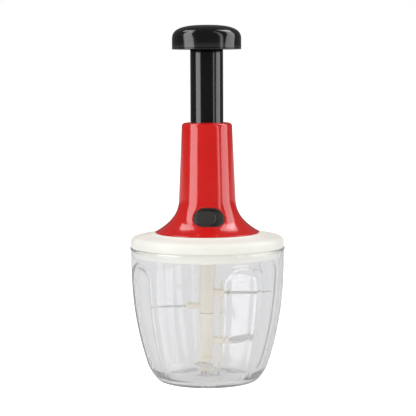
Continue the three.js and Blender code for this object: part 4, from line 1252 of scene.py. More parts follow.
@dataclass
class Lid:
    """The cream lid with its skirt."""

    overhang: float = 0.2
    edge_r: float = 4.5
    edge_sweep: float = 78.0
    edge_steps: int = 12
    rim_face: float = 4.3
    land_r: float = 44.2
    land_foot: Pair = (1.3, 0.75)
    land_edge: float = 0.5
    land_rounds: Pair = (0.5, 0.35)
    wall: float = 2.4
    skirt_clearance: float = 0.6
    skirt_wall: float = 1.9
    skirt_drop: float = 7.2
    skirt_rounds: Pair = (0.4, 0.5)
    root_round: float = 1.0
    bearing_bore_r: float = 8.6
    bearing_wall: float = 2.4
    bearing_round: float = 0.3
    bore_round: float = 0.2
    ceiling_drop: float = 2.1
    ceiling_rounds: Pair = (0.8, 2.0)
    groove_depth: float = 1.3
    groove_height: float = 0.7
    groove_rounds: Pair = (0.1, 0.15)
    steps: int = 192

    def edge_arc(self, centre_r: float, centre_z: float) -> list[Corner]:
        """Draws the rounding of the lid's edge.

        Args:
            centre_r: Radius of the rounding's centre.
            centre_z: Height of its centre.

        Returns:
            Its points, from the side up to the top.
        """
        arc = []
        for step in range(self.edge_steps + 1):
            turn = math.radians(self.edge_sweep * step / self.edge_steps)
            across, rise = self.edge_r * math.cos(turn), self.edge_r * math.sin(turn)
            arc.append((centre_r + across, centre_z + rise, 0))
        return arc

    def profile(self) -> list[Point]:
        """Draws the lid's section as a ring round the bearing's bore.

        Returns:
            The section's points.
        """
        rim_z, top = STACK.bowl_height, STACK.lid_top
        outer_r = STACK.mouth_r + self.overhang
        edge_r, shoulder_z = outer_r - self.edge_r, rim_z + self.rim_face
        land_z, ceiling = top - self.land_foot[1], top - self.wall
        bore_r, bearing_z = self.bearing_bore_r, STACK.bearing_bottom
        bearing_r = bore_r + self.bearing_wall
        skirt_r = STACK.mouth_r - STACK.bowl_wall - self.skirt_clearance
        skirt_inner_r, skirt_bottom = skirt_r - self.skirt_wall, rim_z - self.skirt_drop
        groove_r, groove_z = outer_r - self.groove_depth, rim_z + self.groove_height
        return rounded([
            (groove_r, rim_z, 0), (groove_r, groove_z, self.groove_rounds[0]),
            (outer_r, groove_z, self.groove_rounds[1]), *self.edge_arc(edge_r, shoulder_z),
            (self.land_r + self.land_foot[0], land_z, self.land_rounds[0]),
            (self.land_r + self.land_edge, top, self.land_rounds[1]),
            (bore_r, top, self.bore_round), (bore_r, bearing_z, self.bore_round),
            (bearing_r, bearing_z, self.bearing_round), (bearing_r, ceiling, self.ceiling_rounds[0]),
            (self.land_r - self.wall, ceiling, self.ceiling_rounds[1]),
            (edge_r - self.wall, shoulder_z + self.ceiling_drop, self.ceiling_rounds[1]),
            (skirt_inner_r, shoulder_z, self.root_round),
            (skirt_inner_r, skirt_bottom, self.skirt_rounds[0]),
            (skirt_r, skirt_bottom, self.skirt_rounds[1]), (skirt_r, rim_z, self.groove_rounds[1]),
        ], steps=4, closed=True)

    def build(self, finishes: Finishes) -> None:
        """Builds the lid.

        Args:
            finishes: The chopper's finishes.
        """
        lid = turned("cream_lid", self.profile(), self.steps, closed=True)
        fit(lid, Body.LID, finishes.lid.material(), "lid")


@dataclass
class Lock:
    """The dark pocket liner in the tower's front and its sliding cap."""

    tower: Tower
    fit_gap: float = 0.15
    rim: float = 0.8
    rim_rise: float = 6.0
    rim_round: float = 0.25
    floor: float = 1.2
    sink: float = 0.75
    travel: float = 5.4
    gap: float = 0.25
    height: float = 2.2
    edge: float = 0.8
    top_insets: tuple[float, ...] = (0.9, 1.2, 1.4, 0.9)
    crown: float = 0.35
    stem_width: float = 5.0
    stem_height: float = 3.2
    stem_rise: float = 1.65
    stem_back: float = 2.08
    slot_clearance: float = 0.35
    round_from: float = 50
    crease: float = 40
    cap_crease: float = 38

    def stand(self, piece: Piece, across: float = 0.0) -> None:
        """Puts a piece drawn flat onto the lock's tilted face.

        Args:
            piece: The piece.
            across: How far to the right of the lock's middle, in mm.
        """
        tilt = math.radians(90 - self.tower.lock_tilt)
        piece.rotation_euler = (tilt, 0, 0)
        piece.location = self.tower.on_face(across, 0, 0) * MM
        set_place(piece)

    def stem_block(self, name: str, clearance: Pair, low_z: float, high_z: float) -> Piece:
        """Makes the stem's block, or the slot that it slides in.

        Args:
            name: The block's name.
            clearance: How much wider and how much higher than the stem it is on each side, in mm.
            low_z: Height of its back.
            high_z: Height of its front.

        Returns:
            The block.
        """
        x = self.stem_width / 2 + clearance[0]
        y = self.stem_height / 2 + clearance[1]
        return block(name, (-x, self.stem_rise - y, low_z), (x, self.stem_rise + y, high_z))

    def liner(self) -> Piece:
        """Makes the liner: a dish whose rim follows the bell.

        Returns:
            The liner.
        """
        width = self.tower.lock_width - self.fit_gap * 2
        height = self.tower.lock_height - self.fit_gap * 2
        dish = obround_plate("lock_liner", width, height)
        open_edit(dish)
        bpy.ops.transform.translate(value=(0, 0, -self.floor * MM))
        select_mode(Kind.FACE)
        bpy.ops.mesh.select_all(action="SELECT")
        extrude(0, 0, self.rim_rise)
        bpy.ops.mesh.inset(thickness=self.rim * MM, depth=0)
        extrude(0, 0, self.floor - self.rim_rise)
        close_edit()
        rim_z = (self.rim_rise - self.floor) * MM

        def seated(co: Vector) -> Vector:
            """Brings a point of the rim down to just under the bell.

            Args:
                co: The point.

            Returns:
                Its new place.
            """
            if abs(co.z - rim_z) > DOUBLES:
                return co
            out = self.tower.skin_out(co.x / MM, co.y / MM, self.tower.radius)
            return Vector((co.x, co.y, (out - self.sink) * MM))

        move_points(dish, seated)
        face_outwards(dish)
        round_edges(dish, self.rim_round, segments=2, angle=self.round_from)
        clearance = (self.travel / 2 + self.slot_clearance, self.slot_clearance)
        combine(dish, self.stem_block("slot", clearance, -self.floor * 2, self.gap), Join.CUT)
        self.stand(dish)
        smooth(dish, self.crease)
        return dish

    def cap(self) -> Piece:
        """Makes the sliding cap: rounded, slightly crowned, with its stem.

        Returns:
            The cap.
        """
        inset = (self.fit_gap + self.rim + self.gap) * 2
        width = self.tower.lock_width - inset - self.travel
        height = self.tower.lock_height - inset
        cap = obround_plate("lock_cap", width, height)
        open_edit(cap)
        select_mode(Kind.FACE)
        bpy.ops.transform.translate(value=(0, 0, self.gap * MM))
        extrude(0, 0, self.height - self.gap)
        for thickness in self.top_insets:
            bpy.ops.mesh.inset(thickness=thickness * MM, depth=0)
        close_edit()
        half = height / 2 * MM
        straight = (width - height) / 2 * MM
        top_z = self.height * MM

        def crowned(co: Vector) -> Vector:
            """Lowers the top towards its edge.

            Args:
                co: The point.

            Returns:
                Its new place.
            """
            if co.z < top_z - DOUBLES:
                return co
            away = math.hypot(max(0.0, abs(co.x) - straight), co.y) / half
            return Vector((co.x, co.y, co.z - self.crown * MM * away * away))

        move_points(cap, crowned)
        face_outwards(cap)
        round_edges(cap, self.edge, segments=4, angle=self.round_from)
        combine(cap, self.stem_block("cap_stem", (0, 0), -self.stem_back, self.gap * 2), Join.ADD)
        self.stand(cap, -self.travel / 2)
        smooth(cap, self.cap_crease)
        return cap

    def build(self, finishes: Finishes) -> None:
        """Builds the lock's visible pieces.

        Args:
            finishes: The chopper's finishes.
        """
        fit(self.liner(), Body.LID, finishes.dark.material(), "lock_bezel")
        fit(self.cap(), Body.LOCK, finishes.dark.material(), "lock_button")


@dataclass
class Plunger:
    """The black tube and the palm knob on it."""

    wall: float = 3.1
    flange_r: float = 15.8
    flange_height: float = 3.7
    socket_wall: float = 2.3
    socket_depth: float = 7.4
    knob_r: float = 27.75
    knob_rise: float = 10.8
    knob_skirt: float = 8.7
    side_drop: float = 1.0
    round_power: float = 2.8
    knob_wall: float = 2.6
    plug_depth: float = 2.7
    plug_fit: float = 0.2
    seat_r: float = 15.0
    seat_gap: float = 0.3
    plate_gap: float = 0.3
    plate_thickness: float = 1.6
    plate_drop: float = 0.6
    plate_sunk: float = 3.0
    plate_lip: float = 2.0
    plate_lip_wall: float = 1.4
    plate_round: float = 0.3
    plate_hole_round: float = 0.4
    plate_bend: float = 1.2
    groove: float = 0.22
    groove_heights: Triple = (1.1, 1.25, 1.4)
    groove_rounds: Pair = (0.1, 0.05)
    skirt_rounds: Pair = (0.3, 0.45)
    plug_round: float = 0.4
    seat_rounds: Pair = (0.2, 0.3)
    tube_rounds: Triple = (0.2, 0.5, 0.4)
    dome_steps: int = 40
    tube_steps: int = 96
    knob_steps: int = 144
    plate_steps: int = 120

    def tube(self) -> Piece:
        """Makes the tube with the flange at its foot.

        Returns:
            The tube.
        """
        bottom, top, radius = STACK.tube_bottom, STACK.tube_top, STACK.tube_r
        bore, socket = radius - self.wall, radius - self.socket_wall
        flange_top, socket_top = bottom + self.flange_height, bottom + self.socket_depth
        fine, wide, middling = self.tube_rounds
        return turned("black_tube", rounded([
            (socket, bottom, fine), (self.flange_r, bottom, wide), (self.flange_r, flange_top, middling),
            (radius, flange_top, middling), (radius, top, wide), (bore, top, middling),
            (bore, socket_top, 0), (socket, socket_top, 0),
        ], steps=4, closed=True), self.tube_steps, closed=True)

    def dome(self, radius: float, drop: float) -> list[Point]:
        """Draws the knob's dome from its side to the axis.

        Args:
            radius: The dome's radius.
            drop: How far below the outer dome it lies.

        Returns:
            The dome's points.
        """
        side_z = STACK.tube_top - self.side_drop
        height = self.knob_rise + self.side_drop
        points = []
        for step in range(self.dome_steps + 1):
            turn = math.pi / 2 * step / self.dome_steps
            across = max(0.0, math.cos(turn)) ** (2 / self.round_power)
            rise = math.sin(turn) ** (2 / self.round_power)
            points.append((radius * across, side_z + height * rise - drop))
        points[-1] = (0, points[-1][1])
        return points

    def knob(self) -> Piece:
        """Makes the palm knob: a hollow dome with a plug into the tube.

        Returns:
            The knob.
        """
        bottom, radius = STACK.tube_top - self.knob_skirt, self.knob_r
        side_z = STACK.tube_top - self.side_drop
        plug_r = STACK.tube_r - self.wall - self.plug_fit
        plug_z, seat_z = STACK.tube_top - self.plug_depth, STACK.tube_top + self.seat_gap
        inner_r = radius - self.knob_wall
        inner = [point for point in self.dome(inner_r, self.knob_wall) if point[0] > self.seat_r]
        under = rounded([
            (0, plug_z, 0), (plug_r, plug_z, self.plug_round), (plug_r, seat_z, self.seat_rounds[0]),
            (self.seat_r, seat_z, self.seat_rounds[1]), (self.seat_r, inner[-1][1], 0),
        ], steps=3)
        low, middle, high = (bottom + height for height in self.groove_heights)
        skirt = rounded([
            (inner_r, side_z - self.knob_wall, 0), (inner_r, bottom, self.skirt_rounds[0]),
            (radius, bottom, self.skirt_rounds[1]), (radius, low, self.groove_rounds[0]),
            (radius - self.groove, middle, self.groove_rounds[1]), (radius, high, self.groove_rounds[0]),
            (radius, side_z, 0),
        ], steps=4)
        profile = under + inner[::-1][1:] + skirt + self.dome(radius, 0)[1:]
        return turned("palm_knob_dome", profile, self.knob_steps)

    def underplate(self) -> Piece:
        """Makes the plate that closes the knob's underside.

        Returns:
            The plate.
        """
        bore = STACK.tube_r + self.plate_gap
        outer = self.knob_r - self.knob_wall - self.plate_gap
        top = STACK.tube_top - self.knob_skirt + self.plate_sunk
        lip_inner, lip_top = outer - self.plate_lip_wall, top + self.plate_lip
        low = top - self.plate_thickness - self.plate_drop / 2
        edge = self.plate_round
        return turned("knob_plate", rounded([
            (bore, top, edge), (bore, low, self.plate_hole_round),
            ((bore + outer) / 2, low, self.plate_bend),
            (outer, top - self.plate_thickness, edge), (outer, lip_top, edge),
            (lip_inner, lip_top, edge), (lip_inner, top, edge),
        ], steps=4, closed=True), self.plate_steps, closed=True)

    def build(self, finishes: Finishes) -> None:
        """Builds the plunger's visible pieces.

        Args:
            finishes: The chopper's finishes.
        """
        black = finishes.black.material()
        fit(self.tube(), Body.PLUNGER, black, "plunger_tube")
        fit(self.knob(), Body.PLUNGER, black, "palm_knob")
        inner_black = finishes.inner_black.material()
        fit(self.underplate(), Body.PLUNGER, inner_black, "knob_underplate")


@dataclass
class Spring:
    """The return spring between the spiral's cap and the knob's plug."""

    mean_r: float = 7.4
    wire: float = 1.2
    coils: int = 8
    end_turns: int = 1
    end_pitch: float = 1.8
    bottom: float = 201.3
    top: float = 273.0
    sides: int = 12
    steps: int = 32
    crease: float = 40

    def build(self, finishes: Finishes) -> None:
        """Builds the spring, with its end turns closed and the rest open.

        Args:
            finishes: The chopper's finishes.
        """
        turns = self.coils + self.end_turns * 2
        length = self.top - self.bottom
        open_pitch = (length - self.wire - self.end_pitch * self.end_turns * 2) / self.coils
        deselect_all()
        bpy.ops.mesh.primitive_circle_add(
            vertices=self.sides, radius=self.wire / 2 * MM, location=(self.mean_r * MM, 0, 0),
            rotation=(math.pi / 2, 0, 0), fill_type="NGON",
        )
        spring = bpy.context.active_object
        spring.name = "return_coil"
        set_place(spring)
        screw = spring.modifiers.new("coil", "SCREW")
        screw.angle = FULL_TURN
        screw.iterations = turns
        screw.screw_offset = open_pitch * MM
        screw.steps = screw.render_steps = self.steps
        screw.use_merge_vertices = False
        bpy.ops.object.modifier_apply(modifier=screw.name)
        ends = self.end_turns

        def wound(co: Vector) -> Vector:
            """Closes the end turns and leaves the rest open.

            Args:
                co: The point.

            Returns:
                Its new place.
            """
            angle = math.atan2(co.y, co.x) % FULL_TURN / FULL_TURN
            turn = round(co.z / MM / open_pitch - angle) + angle
            lift = co.z / MM - turn * open_pitch
            low = min(turn, ends)
            open_turns = min(max(turn - ends, 0), self.coils)
            high = max(0.0, turn - ends - self.coils)
            height = self.wire / 2 + (low + high) * self.end_pitch + open_turns * open_pitch
            return Vector((co.x, co.y, (self.bottom + height + lift) * MM))

        move_points(spring, wound)
        open_edit(spring)
        bpy.ops.mesh.remove_doubles(threshold=DOUBLES)
        select_open_edges()
        bpy.ops.mesh.edge_face_add()
        close_edit()
        face_outwards(spring)
        smooth(spring, self.crease)
        fit(spring, Body.LID, finishes.steel.material(), "return_spring")
        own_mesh(spring)


@dataclass(frozen=True)
class BladeShape:
    """One blade: where it stands on the column and how it is drawn."""

    name: str
    node: str
    angle: float
    z: float
    reach: float
    sweep: float
    belly: float
    lift: float
    tip: float
    twist: float = 0.0


@dataclass
class BladeUnit:
    """The cream column in two halves, with four arms and four steel blades."""

    column_bottom: float = 7.9
    column_steps: int = 72
    lower_r: float = 6.6
    seam_gap: float = 0.3
    hub_gap: float = 0.3
    foot_r: float = 7.9
    foot_height: float = 2.4
    foot_fall: float = 0.4
    collar_height: float = 3.2
    collar_rise: float = 0.5
    collar_round: float = 0.3
    edge: float = 0.5
    spigot_flats: float = 8.0
    spigot_height: float = 12.2
    spigot_clearance: float = 0.2
    joint_flats: float = 6.6
    joint_height: float = 8.0
    pin_bore_r: float = 2.2
    pin_bore_top: float = 20.4
    pin_bore_steps: int = 40
    arm_reach: float = 17.8
    arm_root: float = 5.4
    arm_tip: float = 4.9
    arm_thickness: float = 4.2
    arm_corner: float = 1.6
    arm_round: float = 0.4
    round_from: float = 50
    slot_clearance: float = 0.15
    tab_back: float = 4.2
    tab_thickness: float = 1.7
    tab_inset: float = 1.0
    tab_height: float = 1.5
    thickness: float = 0.9
    root_x: float = 8.6
    root_half: float = 3.6
    belly_run: float = 1.5
    twist_run: float = 0.08
    grind: float = 2.2
    edge_share: float = 0.07
    blade_grid: tuple[int, int] = (40, 8)
    crease: float = 35
    blade_crease: float = 20
    upper: tuple[BladeShape, ...] = (
        BladeShape("top_blade", "blade_a", -14, 71.7, 49.5, 13, 5.6, 0, 0.7),
        BladeShape("second_blade", "blade_b", 178, 60, 46, 14, 5.6, 1.2, 0.7),
    )
    lower: tuple[BladeShape, ...] = (
        BladeShape("third_blade", "blade_c", -8, 32.4, 38, 9, 4.6, 5.4, 1.0, 22),
        BladeShape("low_blade", "blade_d", -104, 16.6, 33.5, 23, 8.2, -3, 0.7, -6),
    )

    def half_width(self, shape: BladeShape, share: float) -> float:
        """Gives half a blade's width.

        Args:
            shape: The blade's drawing.
            share: How far along its free length, 0 to 1.

        Returns:
            Half the width in mm.
        """
        swell = (shape.belly - self.root_half) * math.sin(math.pi * min(1.0, share * self.belly_run))
        taper = (self.root_half - shape.tip) * share ** 3
        return self.root_half + max(0.0, swell) - taper

    def root_share(self, shape: BladeShape) -> float:
        """Gives the share of a blade's length that its arm holds."""
        return (self.arm_reach - self.root_x) / (shape.reach - self.root_x)

    def free_share(self, shape: BladeShape, run: float) -> float:
        """Gives how far along a blade's free length a grid point lies, below 0 in the arm."""
        root = self.root_share(shape)
        return ((run + 1) / 2 - root) / (1 - root)

    def drawn(self, shape: BladeShape, co: Vector) -> Vector:
        """Puts a point of a grid, from -1 to 1, at its place on a blade.

        Args:
            shape: The blade's drawing.
            co: The grid's point.

        Returns:
            Its place between the blade's sides, in metres.
        """
        share, side = self.free_share(shape, co.x), co.y
        free = shape.reach - self.arm_reach
        x = self.arm_reach + share * free
        share = max(0.0, share)
        width = self.half_width(shape, share)
        slope = 2 * shape.sweep * share / free
        along, across = 1 / math.hypot(1, slope), slope / math.hypot(1, slope)
        twist = math.radians(shape.twist) * eased(min(1.0, share / self.twist_run))
        z = shape.lift * share * share + side * width * math.sin(twist)
        centre_y = shape.sweep * share * share
        return Vector((x - across * side * width, centre_y + along * side * width, z)) * MM

    def seat(self, piece: Piece, shape: BladeShape) -> None:
        """Turns and lifts a piece drawn along X to a blade's place on the column.

        Args:
            piece: The piece.
            shape: The blade.
        """
        piece.rotation_euler = (0, 0, math.radians(shape.angle))
        piece.location = (0, 0, shape.z * MM)
        set_place(piece)

    def blade(self, shape: BladeShape) -> Piece:
        """Makes a blade: flat, swept back, and ground along its leading edge.

        Args:
            shape: The blade's drawing.

        Returns:
            The blade.
        """
        deselect_all()
        columns, rows = self.blade_grid
        bpy.ops.mesh.primitive_grid_add(x_subdivisions=columns, y_subdivisions=rows, size=2)
        blade = bpy.context.active_object
        blade.name = shape.name
        grid = [(vertex.co.x, vertex.co.y) for vertex in blade.data.vertices]
        move_points(blade, lambda co: self.drawn(shape, co))
        half = self.thickness / 2
        open_edit(blade)
        extrude(0, 0, -half)
        close_edit()
        for vertex, (run, side) in zip(blade.data.vertices, grid):
            share = self.free_share(shape, run)
            inward = (side + 1) * self.half_width(shape, max(0.0, share)) / self.grind
            raised = 1.0 if share <= 0 else min(1.0, inward + self.edge_share)
            vertex.co.z += half * MM * (2 * raised - 1)
        blade.data.update()
        face_outwards(blade)
        self.seat(blade, shape)
        smooth(blade, self.blade_crease)
        return blade

    def round_arm_end(self, arm: Piece) -> None:
        """Rounds the two upright corners at an arm's outer end.

        Args:
            arm: The arm, in object mode.
        """
        end = self.arm_reach * MM - DOUBLES
        take(arm)
        edit()
        select_mode(Kind.EDGE)
        bpy.ops.mesh.select_all(action="DESELECT")
        close_edit()
        for edge in arm.data.edges:
            ends = [arm.data.vertices[i].co for i in edge.vertices]
            edge.select = all(co.x > end for co in ends) and abs(ends[0].z - ends[1].z) > MM
        edit()
        bpy.ops.mesh.bevel(offset=self.arm_corner * MM, segments=4, affect="EDGES")
        close_edit()

    def arm(self, shape: BladeShape) -> Piece:
        """Makes the arm that holds a blade, with a slot in its end and a tab on top.

        Args:
            shape: The blade that it holds.

        Returns:
            The arm.
        """
        half = self.arm_thickness / 2
        arm = block("arm", (0, -self.arm_root, -half), (self.arm_reach, self.arm_root, half))
        narrowing = (self.arm_root - self.arm_tip) / self.arm_reach

        def tapered(co: Vector) -> Vector:
            """Draws the outer end in."""
            width = (self.arm_root - narrowing * co.x / MM) / self.arm_root
            return Vector((co.x, co.y * width, co.z))

        move_points(arm, tapered)
        self.round_arm_end(arm)
        tab_x, tab_y = self.arm_reach - self.tab_back, self.arm_tip - self.tab_inset
        tab = block("tab", (tab_x, -tab_y, 0), (tab_x + self.tab_thickness, tab_y, half + self.tab_height))
        combine(arm, tab, Join.ADD)
        round_edges(arm, self.arm_round, segments=2, angle=self.round_from)
        slot_y = self.root_half + self.slot_clearance
        slot_z = self.thickness / 2 + self.slot_clearance
        slot = block("slot", (self.root_x - self.slot_clearance, -slot_y, -slot_z),
                     (self.arm_reach + OVERRUN, slot_y, slot_z))
        combine(arm, slot, Join.CUT)
        self.seat(arm, shape)
        return arm

    def stem(self) -> Piece:
        """Makes the lower half of the column with its foot, arms and spigot.

        Returns:
            The lower half.
        """
        bottom, seam_z, radius = self.column_bottom, STACK.seam_z, STACK.column_r
        foot_top, collar = bottom + self.foot_height, seam_z - self.collar_height
        stem = turned("blade_column", rounded([
            (0, bottom, 0), (self.foot_r, bottom, self.edge), (self.foot_r, foot_top, self.edge),
            (self.lower_r, foot_top + self.foot_fall, self.foot_fall),
            (self.lower_r, collar, self.collar_round),
            (radius, collar + self.collar_rise, self.collar_round),
            (radius, seam_z, self.edge), (0, seam_z, 0),
        ], steps=4), self.column_steps)
        spigot = hexagon("joint", self.joint_flats, seam_z - OVERRUN, seam_z + self.joint_height)
        combine(stem, spigot, Join.ADD)
        for shape in self.lower:
            combine(stem, self.arm(shape), Join.ADD)
        bore = turned("bore", [
            (0, bottom - OVERRUN), (self.pin_bore_r, bottom - OVERRUN),
            (self.pin_bore_r, self.pin_bore_top), (0, self.pin_bore_top),
        ], self.pin_bore_steps)
        combine(stem, bore, Join.CUT)
        smooth(stem, self.crease)
        return stem

    def carrier(self) -> Piece:
        """Makes the upper half of the column with its arms, socket and spigot.

        Returns:
            The upper half.
        """
        bottom = STACK.seam_z + self.seam_gap
        top = STACK.hub_bottom - self.hub_gap
        radius = STACK.column_r
        carrier = turned("upper_column", rounded([
            (0, bottom, 0), (radius, bottom, self.edge), (radius, top, self.edge), (0, top, 0),
        ], steps=4), self.column_steps)
        spigot = hexagon("spigot", self.spigot_flats, top - OVERRUN, top + self.spigot_height)
        combine(carrier, spigot, Join.ADD)
        for shape in self.upper:
            combine(carrier, self.arm(shape), Join.ADD)
        room = self.spigot_clearance * 2
        socket_top = STACK.seam_z + self.joint_height + room
        socket = hexagon("socket", self.joint_flats + room, bottom - OVERRUN, socket_top)
        combine(carrier, socket, Join.CUT)
        smooth(carrier, self.crease)
        return carrier

    def build(self, finishes: Finishes) -> None:
        """Builds the blade unit.

        Args:
            finishes: The chopper's finishes.
        """
        cream = finishes.cream.material()
        steel = finishes.blade.material()
        fit(self.stem(), Body.BLADES, cream, "blade_stem")
        fit(self.carrier(), Body.BLADES, cream, "upper_blade_carrier")
        for shape in self.upper + self.lower:
            fit(self.blade(shape), Body.BLADES, steel, shape.node)


@dataclass
class Hub:
    """The hub in the lid that turns the blade column."""

    journal_r: float = 8.3
    flange_r: float = 12.5
    flange_z: float = 121.3
    flange_height: float = 2.2
    clip_gap: float = 0.3
    clip_thickness: float = 0.8
    groove_depth: float = 0.9
    socket_flats: float = 8.4
    socket_top: float = 108.3
    strip_half: Pair = (4.65, 1.15)
    strip_bottom: float = 112.85
    strip_z: float = 113.0
    strip_pitch: float = 28.5
    strip_overrun: float = 1.0
    strip_cuts: int = 19
    end_round: float = 0.5
    groove_round: float = 0.1
    flat_within: float = 1.0
    journal_round: float = 0.3
    flange_round: float = 0.4
    steps: int = 72
    crease: float = 35

    def strip_slot(self, top: float) -> Piece:
        """Makes the twisted body that the strip's slot is cut with.

        Args:
            top: Height that it reaches, in mm.

        Returns:
            The body.
        """
        wide, thick = self.strip_half
        slot = block("strip_slot", (-wide, -thick, self.strip_bottom), (wide, thick, top))
        open_edit(slot)
        bpy.ops.mesh.subdivide(number_cuts=self.strip_cuts)
        close_edit()

        def twisted(co: Vector) -> Vector:
            """Turns a point with the strip."""
            turn = -FULL_TURN * (co.z / MM - self.strip_z) / self.strip_pitch
            return Matrix.Rotation(turn, 3, "Z") @ co

        move_points(slot, twisted)
        return slot

    def build(self, finishes: Finishes) -> None:
        """Builds the hub with its hexagonal socket and the slot for the strip.

        Args:
            finishes: The chopper's finishes.
        """
        radius, bottom, top = STACK.column_r, STACK.hub_bottom, self.flange_z + self.flange_height
        clip_top = STACK.bearing_bottom - self.clip_gap
        clip_low = clip_top - self.clip_thickness - self.clip_gap
        groove = radius - self.groove_depth
        hub = turned("drive_hub_body", rounded([
            (0, bottom, 0), (radius, bottom, self.end_round), (radius, clip_low, self.groove_round),
            (groove, clip_low, self.groove_round), (groove, clip_top, self.groove_round),
            (self.journal_r, clip_top, self.journal_round), (self.journal_r, self.flange_z, 0),
            (self.flange_r, self.flange_z, self.flange_round), (self.flange_r, top, self.end_round),
            (0, top, 0),
        ], steps=4), self.steps)
        open_edit(hub)
        bpy.ops.mesh.dissolve_limited(angle_limit=math.radians(self.flat_within))
        close_edit()
        socket = hexagon("hub_socket", self.socket_flats, bottom - OVERRUN, self.socket_top)
        combine(hub, socket, Join.CUT)
        combine(hub, self.strip_slot(top + self.strip_overrun), Join.CUT)
        smooth(hub, self.crease)
        fit(hub, Body.SPINDLE, finishes.cream.material(), "drive_hub")


@dataclass
class InnerWorks:
    """The nodes of the frame that stay as they are and get a finish."""

    cream: tuple[str, ...] = ("guide_sleeve", "spiral_nut", "spindle_cap")
    dark: tuple[str, ...] = ("lock_latch",)
    steel: tuple[str, ...] = ("thrust_washer", "hub_clip", "spiral_spindle")
    screws: int = 4

    def build(self, finishes: Finishes) -> None:
        """Dresses the nodes.

        Args:
            finishes: The chopper's finishes.
        """
        screws = tuple(f"tower_screw_{number}" for number in range(1, self.screws + 1))
        groups = (
            (self.cream, finishes.cream.material()),
            (self.dark, finishes.dark.material()),
            (self.steel + screws, finishes.steel.material()),
        )
        for names, material in groups:
            for name in names:
                dress(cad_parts[name], material)
                log.info("%s: dressed", name)


# Studio


def link_in(name: str, data: bpy.types.ID, place: Matrix) -> Piece:
    """Puts a camera or lamp into the scene.

    Args:
        name: Its name.
        data: Its data.
        place: Its place and turn.

    Returns:
        The object.
    """
    thing = bpy.data.objects.new(name, data)
    bpy.context.scene.collection.objects.link(thing)
    thing.matrix_world = place
    return thing


def hang_panel(name: str, width: float, height: float, radiance: float, place: Matrix) -> None:
    """Hangs a lamp panel that gloss and clear surfaces show, and no other.

    Args:
        name: The lamp's name.
        width: Its width in metres.
        height: Its height in metres.
        radiance: How bright it looks.
        place: Its place and turn.
    """
    data = bpy.data.lights.new(name, "AREA")
    data.shape = "RECTANGLE"
    data.size, data.size_y = width, height
    data.energy = radiance * math.pi * width * height
    lamp = link_in(name, data, place)
    lamp.visible_camera = False
    lamp.visible_diffuse = False


@dataclass(frozen=True)
class Softbox:
    """A tall lamp that shows as an upright band on gloss surfaces."""

    name: str
    azimuth: float
    spread: float
    radiance: float
    lean: float = 0.0
    distance: float = 1.3
    low: float = -0.35
    high: float = 3.5

    def build(self, centre: Vector) -> None:
        """Builds the lamp.

        Args:
            centre: The place that it stands round.
        """
        width = 2 * self.distance * math.tan(math.radians(self.spread / 2))
        turn = math.radians(self.azimuth)
        away = Vector((math.sin(turn), -math.cos(turn), 0)) * self.distance
        facing = (away * -1).to_track_quat("-Z", "Y").to_matrix()
        tilt = Matrix.Rotation(math.radians(self.lean), 3, away.normalized())
        rise = tilt @ Vector((0, 0, (self.low + self.high) / 2))
        place = Matrix.Translation(centre + away + rise) @ (tilt @ facing).to_4x4()
        hang_panel(self.name, width, self.high - self.low, self.radiance, place)


@dataclass(frozen=True)
class CeilingBox:
    """A lamp high above, turned so that its edge ends a band on the bell's flare."""

    name: str
    direction: Triple
    along: Triple
    length: float
    width: float
    radiance: float
    distance: float = 1.6

    def build(self, centre: Vector) -> None:
        """Builds the lamp.

        Args:
            centre: The place that it hangs over.
        """
        out = Vector(self.direction).normalized()
        side = Vector(self.along)
        side = (side - out * side.dot(out)).normalized()
        turn = Matrix((side, out.cross(side), out)).transposed()
        place = Matrix.Translation(centre + out * self.distance) @ turn.to_4x4()
        hang_panel(self.name, self.length, self.width, self.radiance, place)


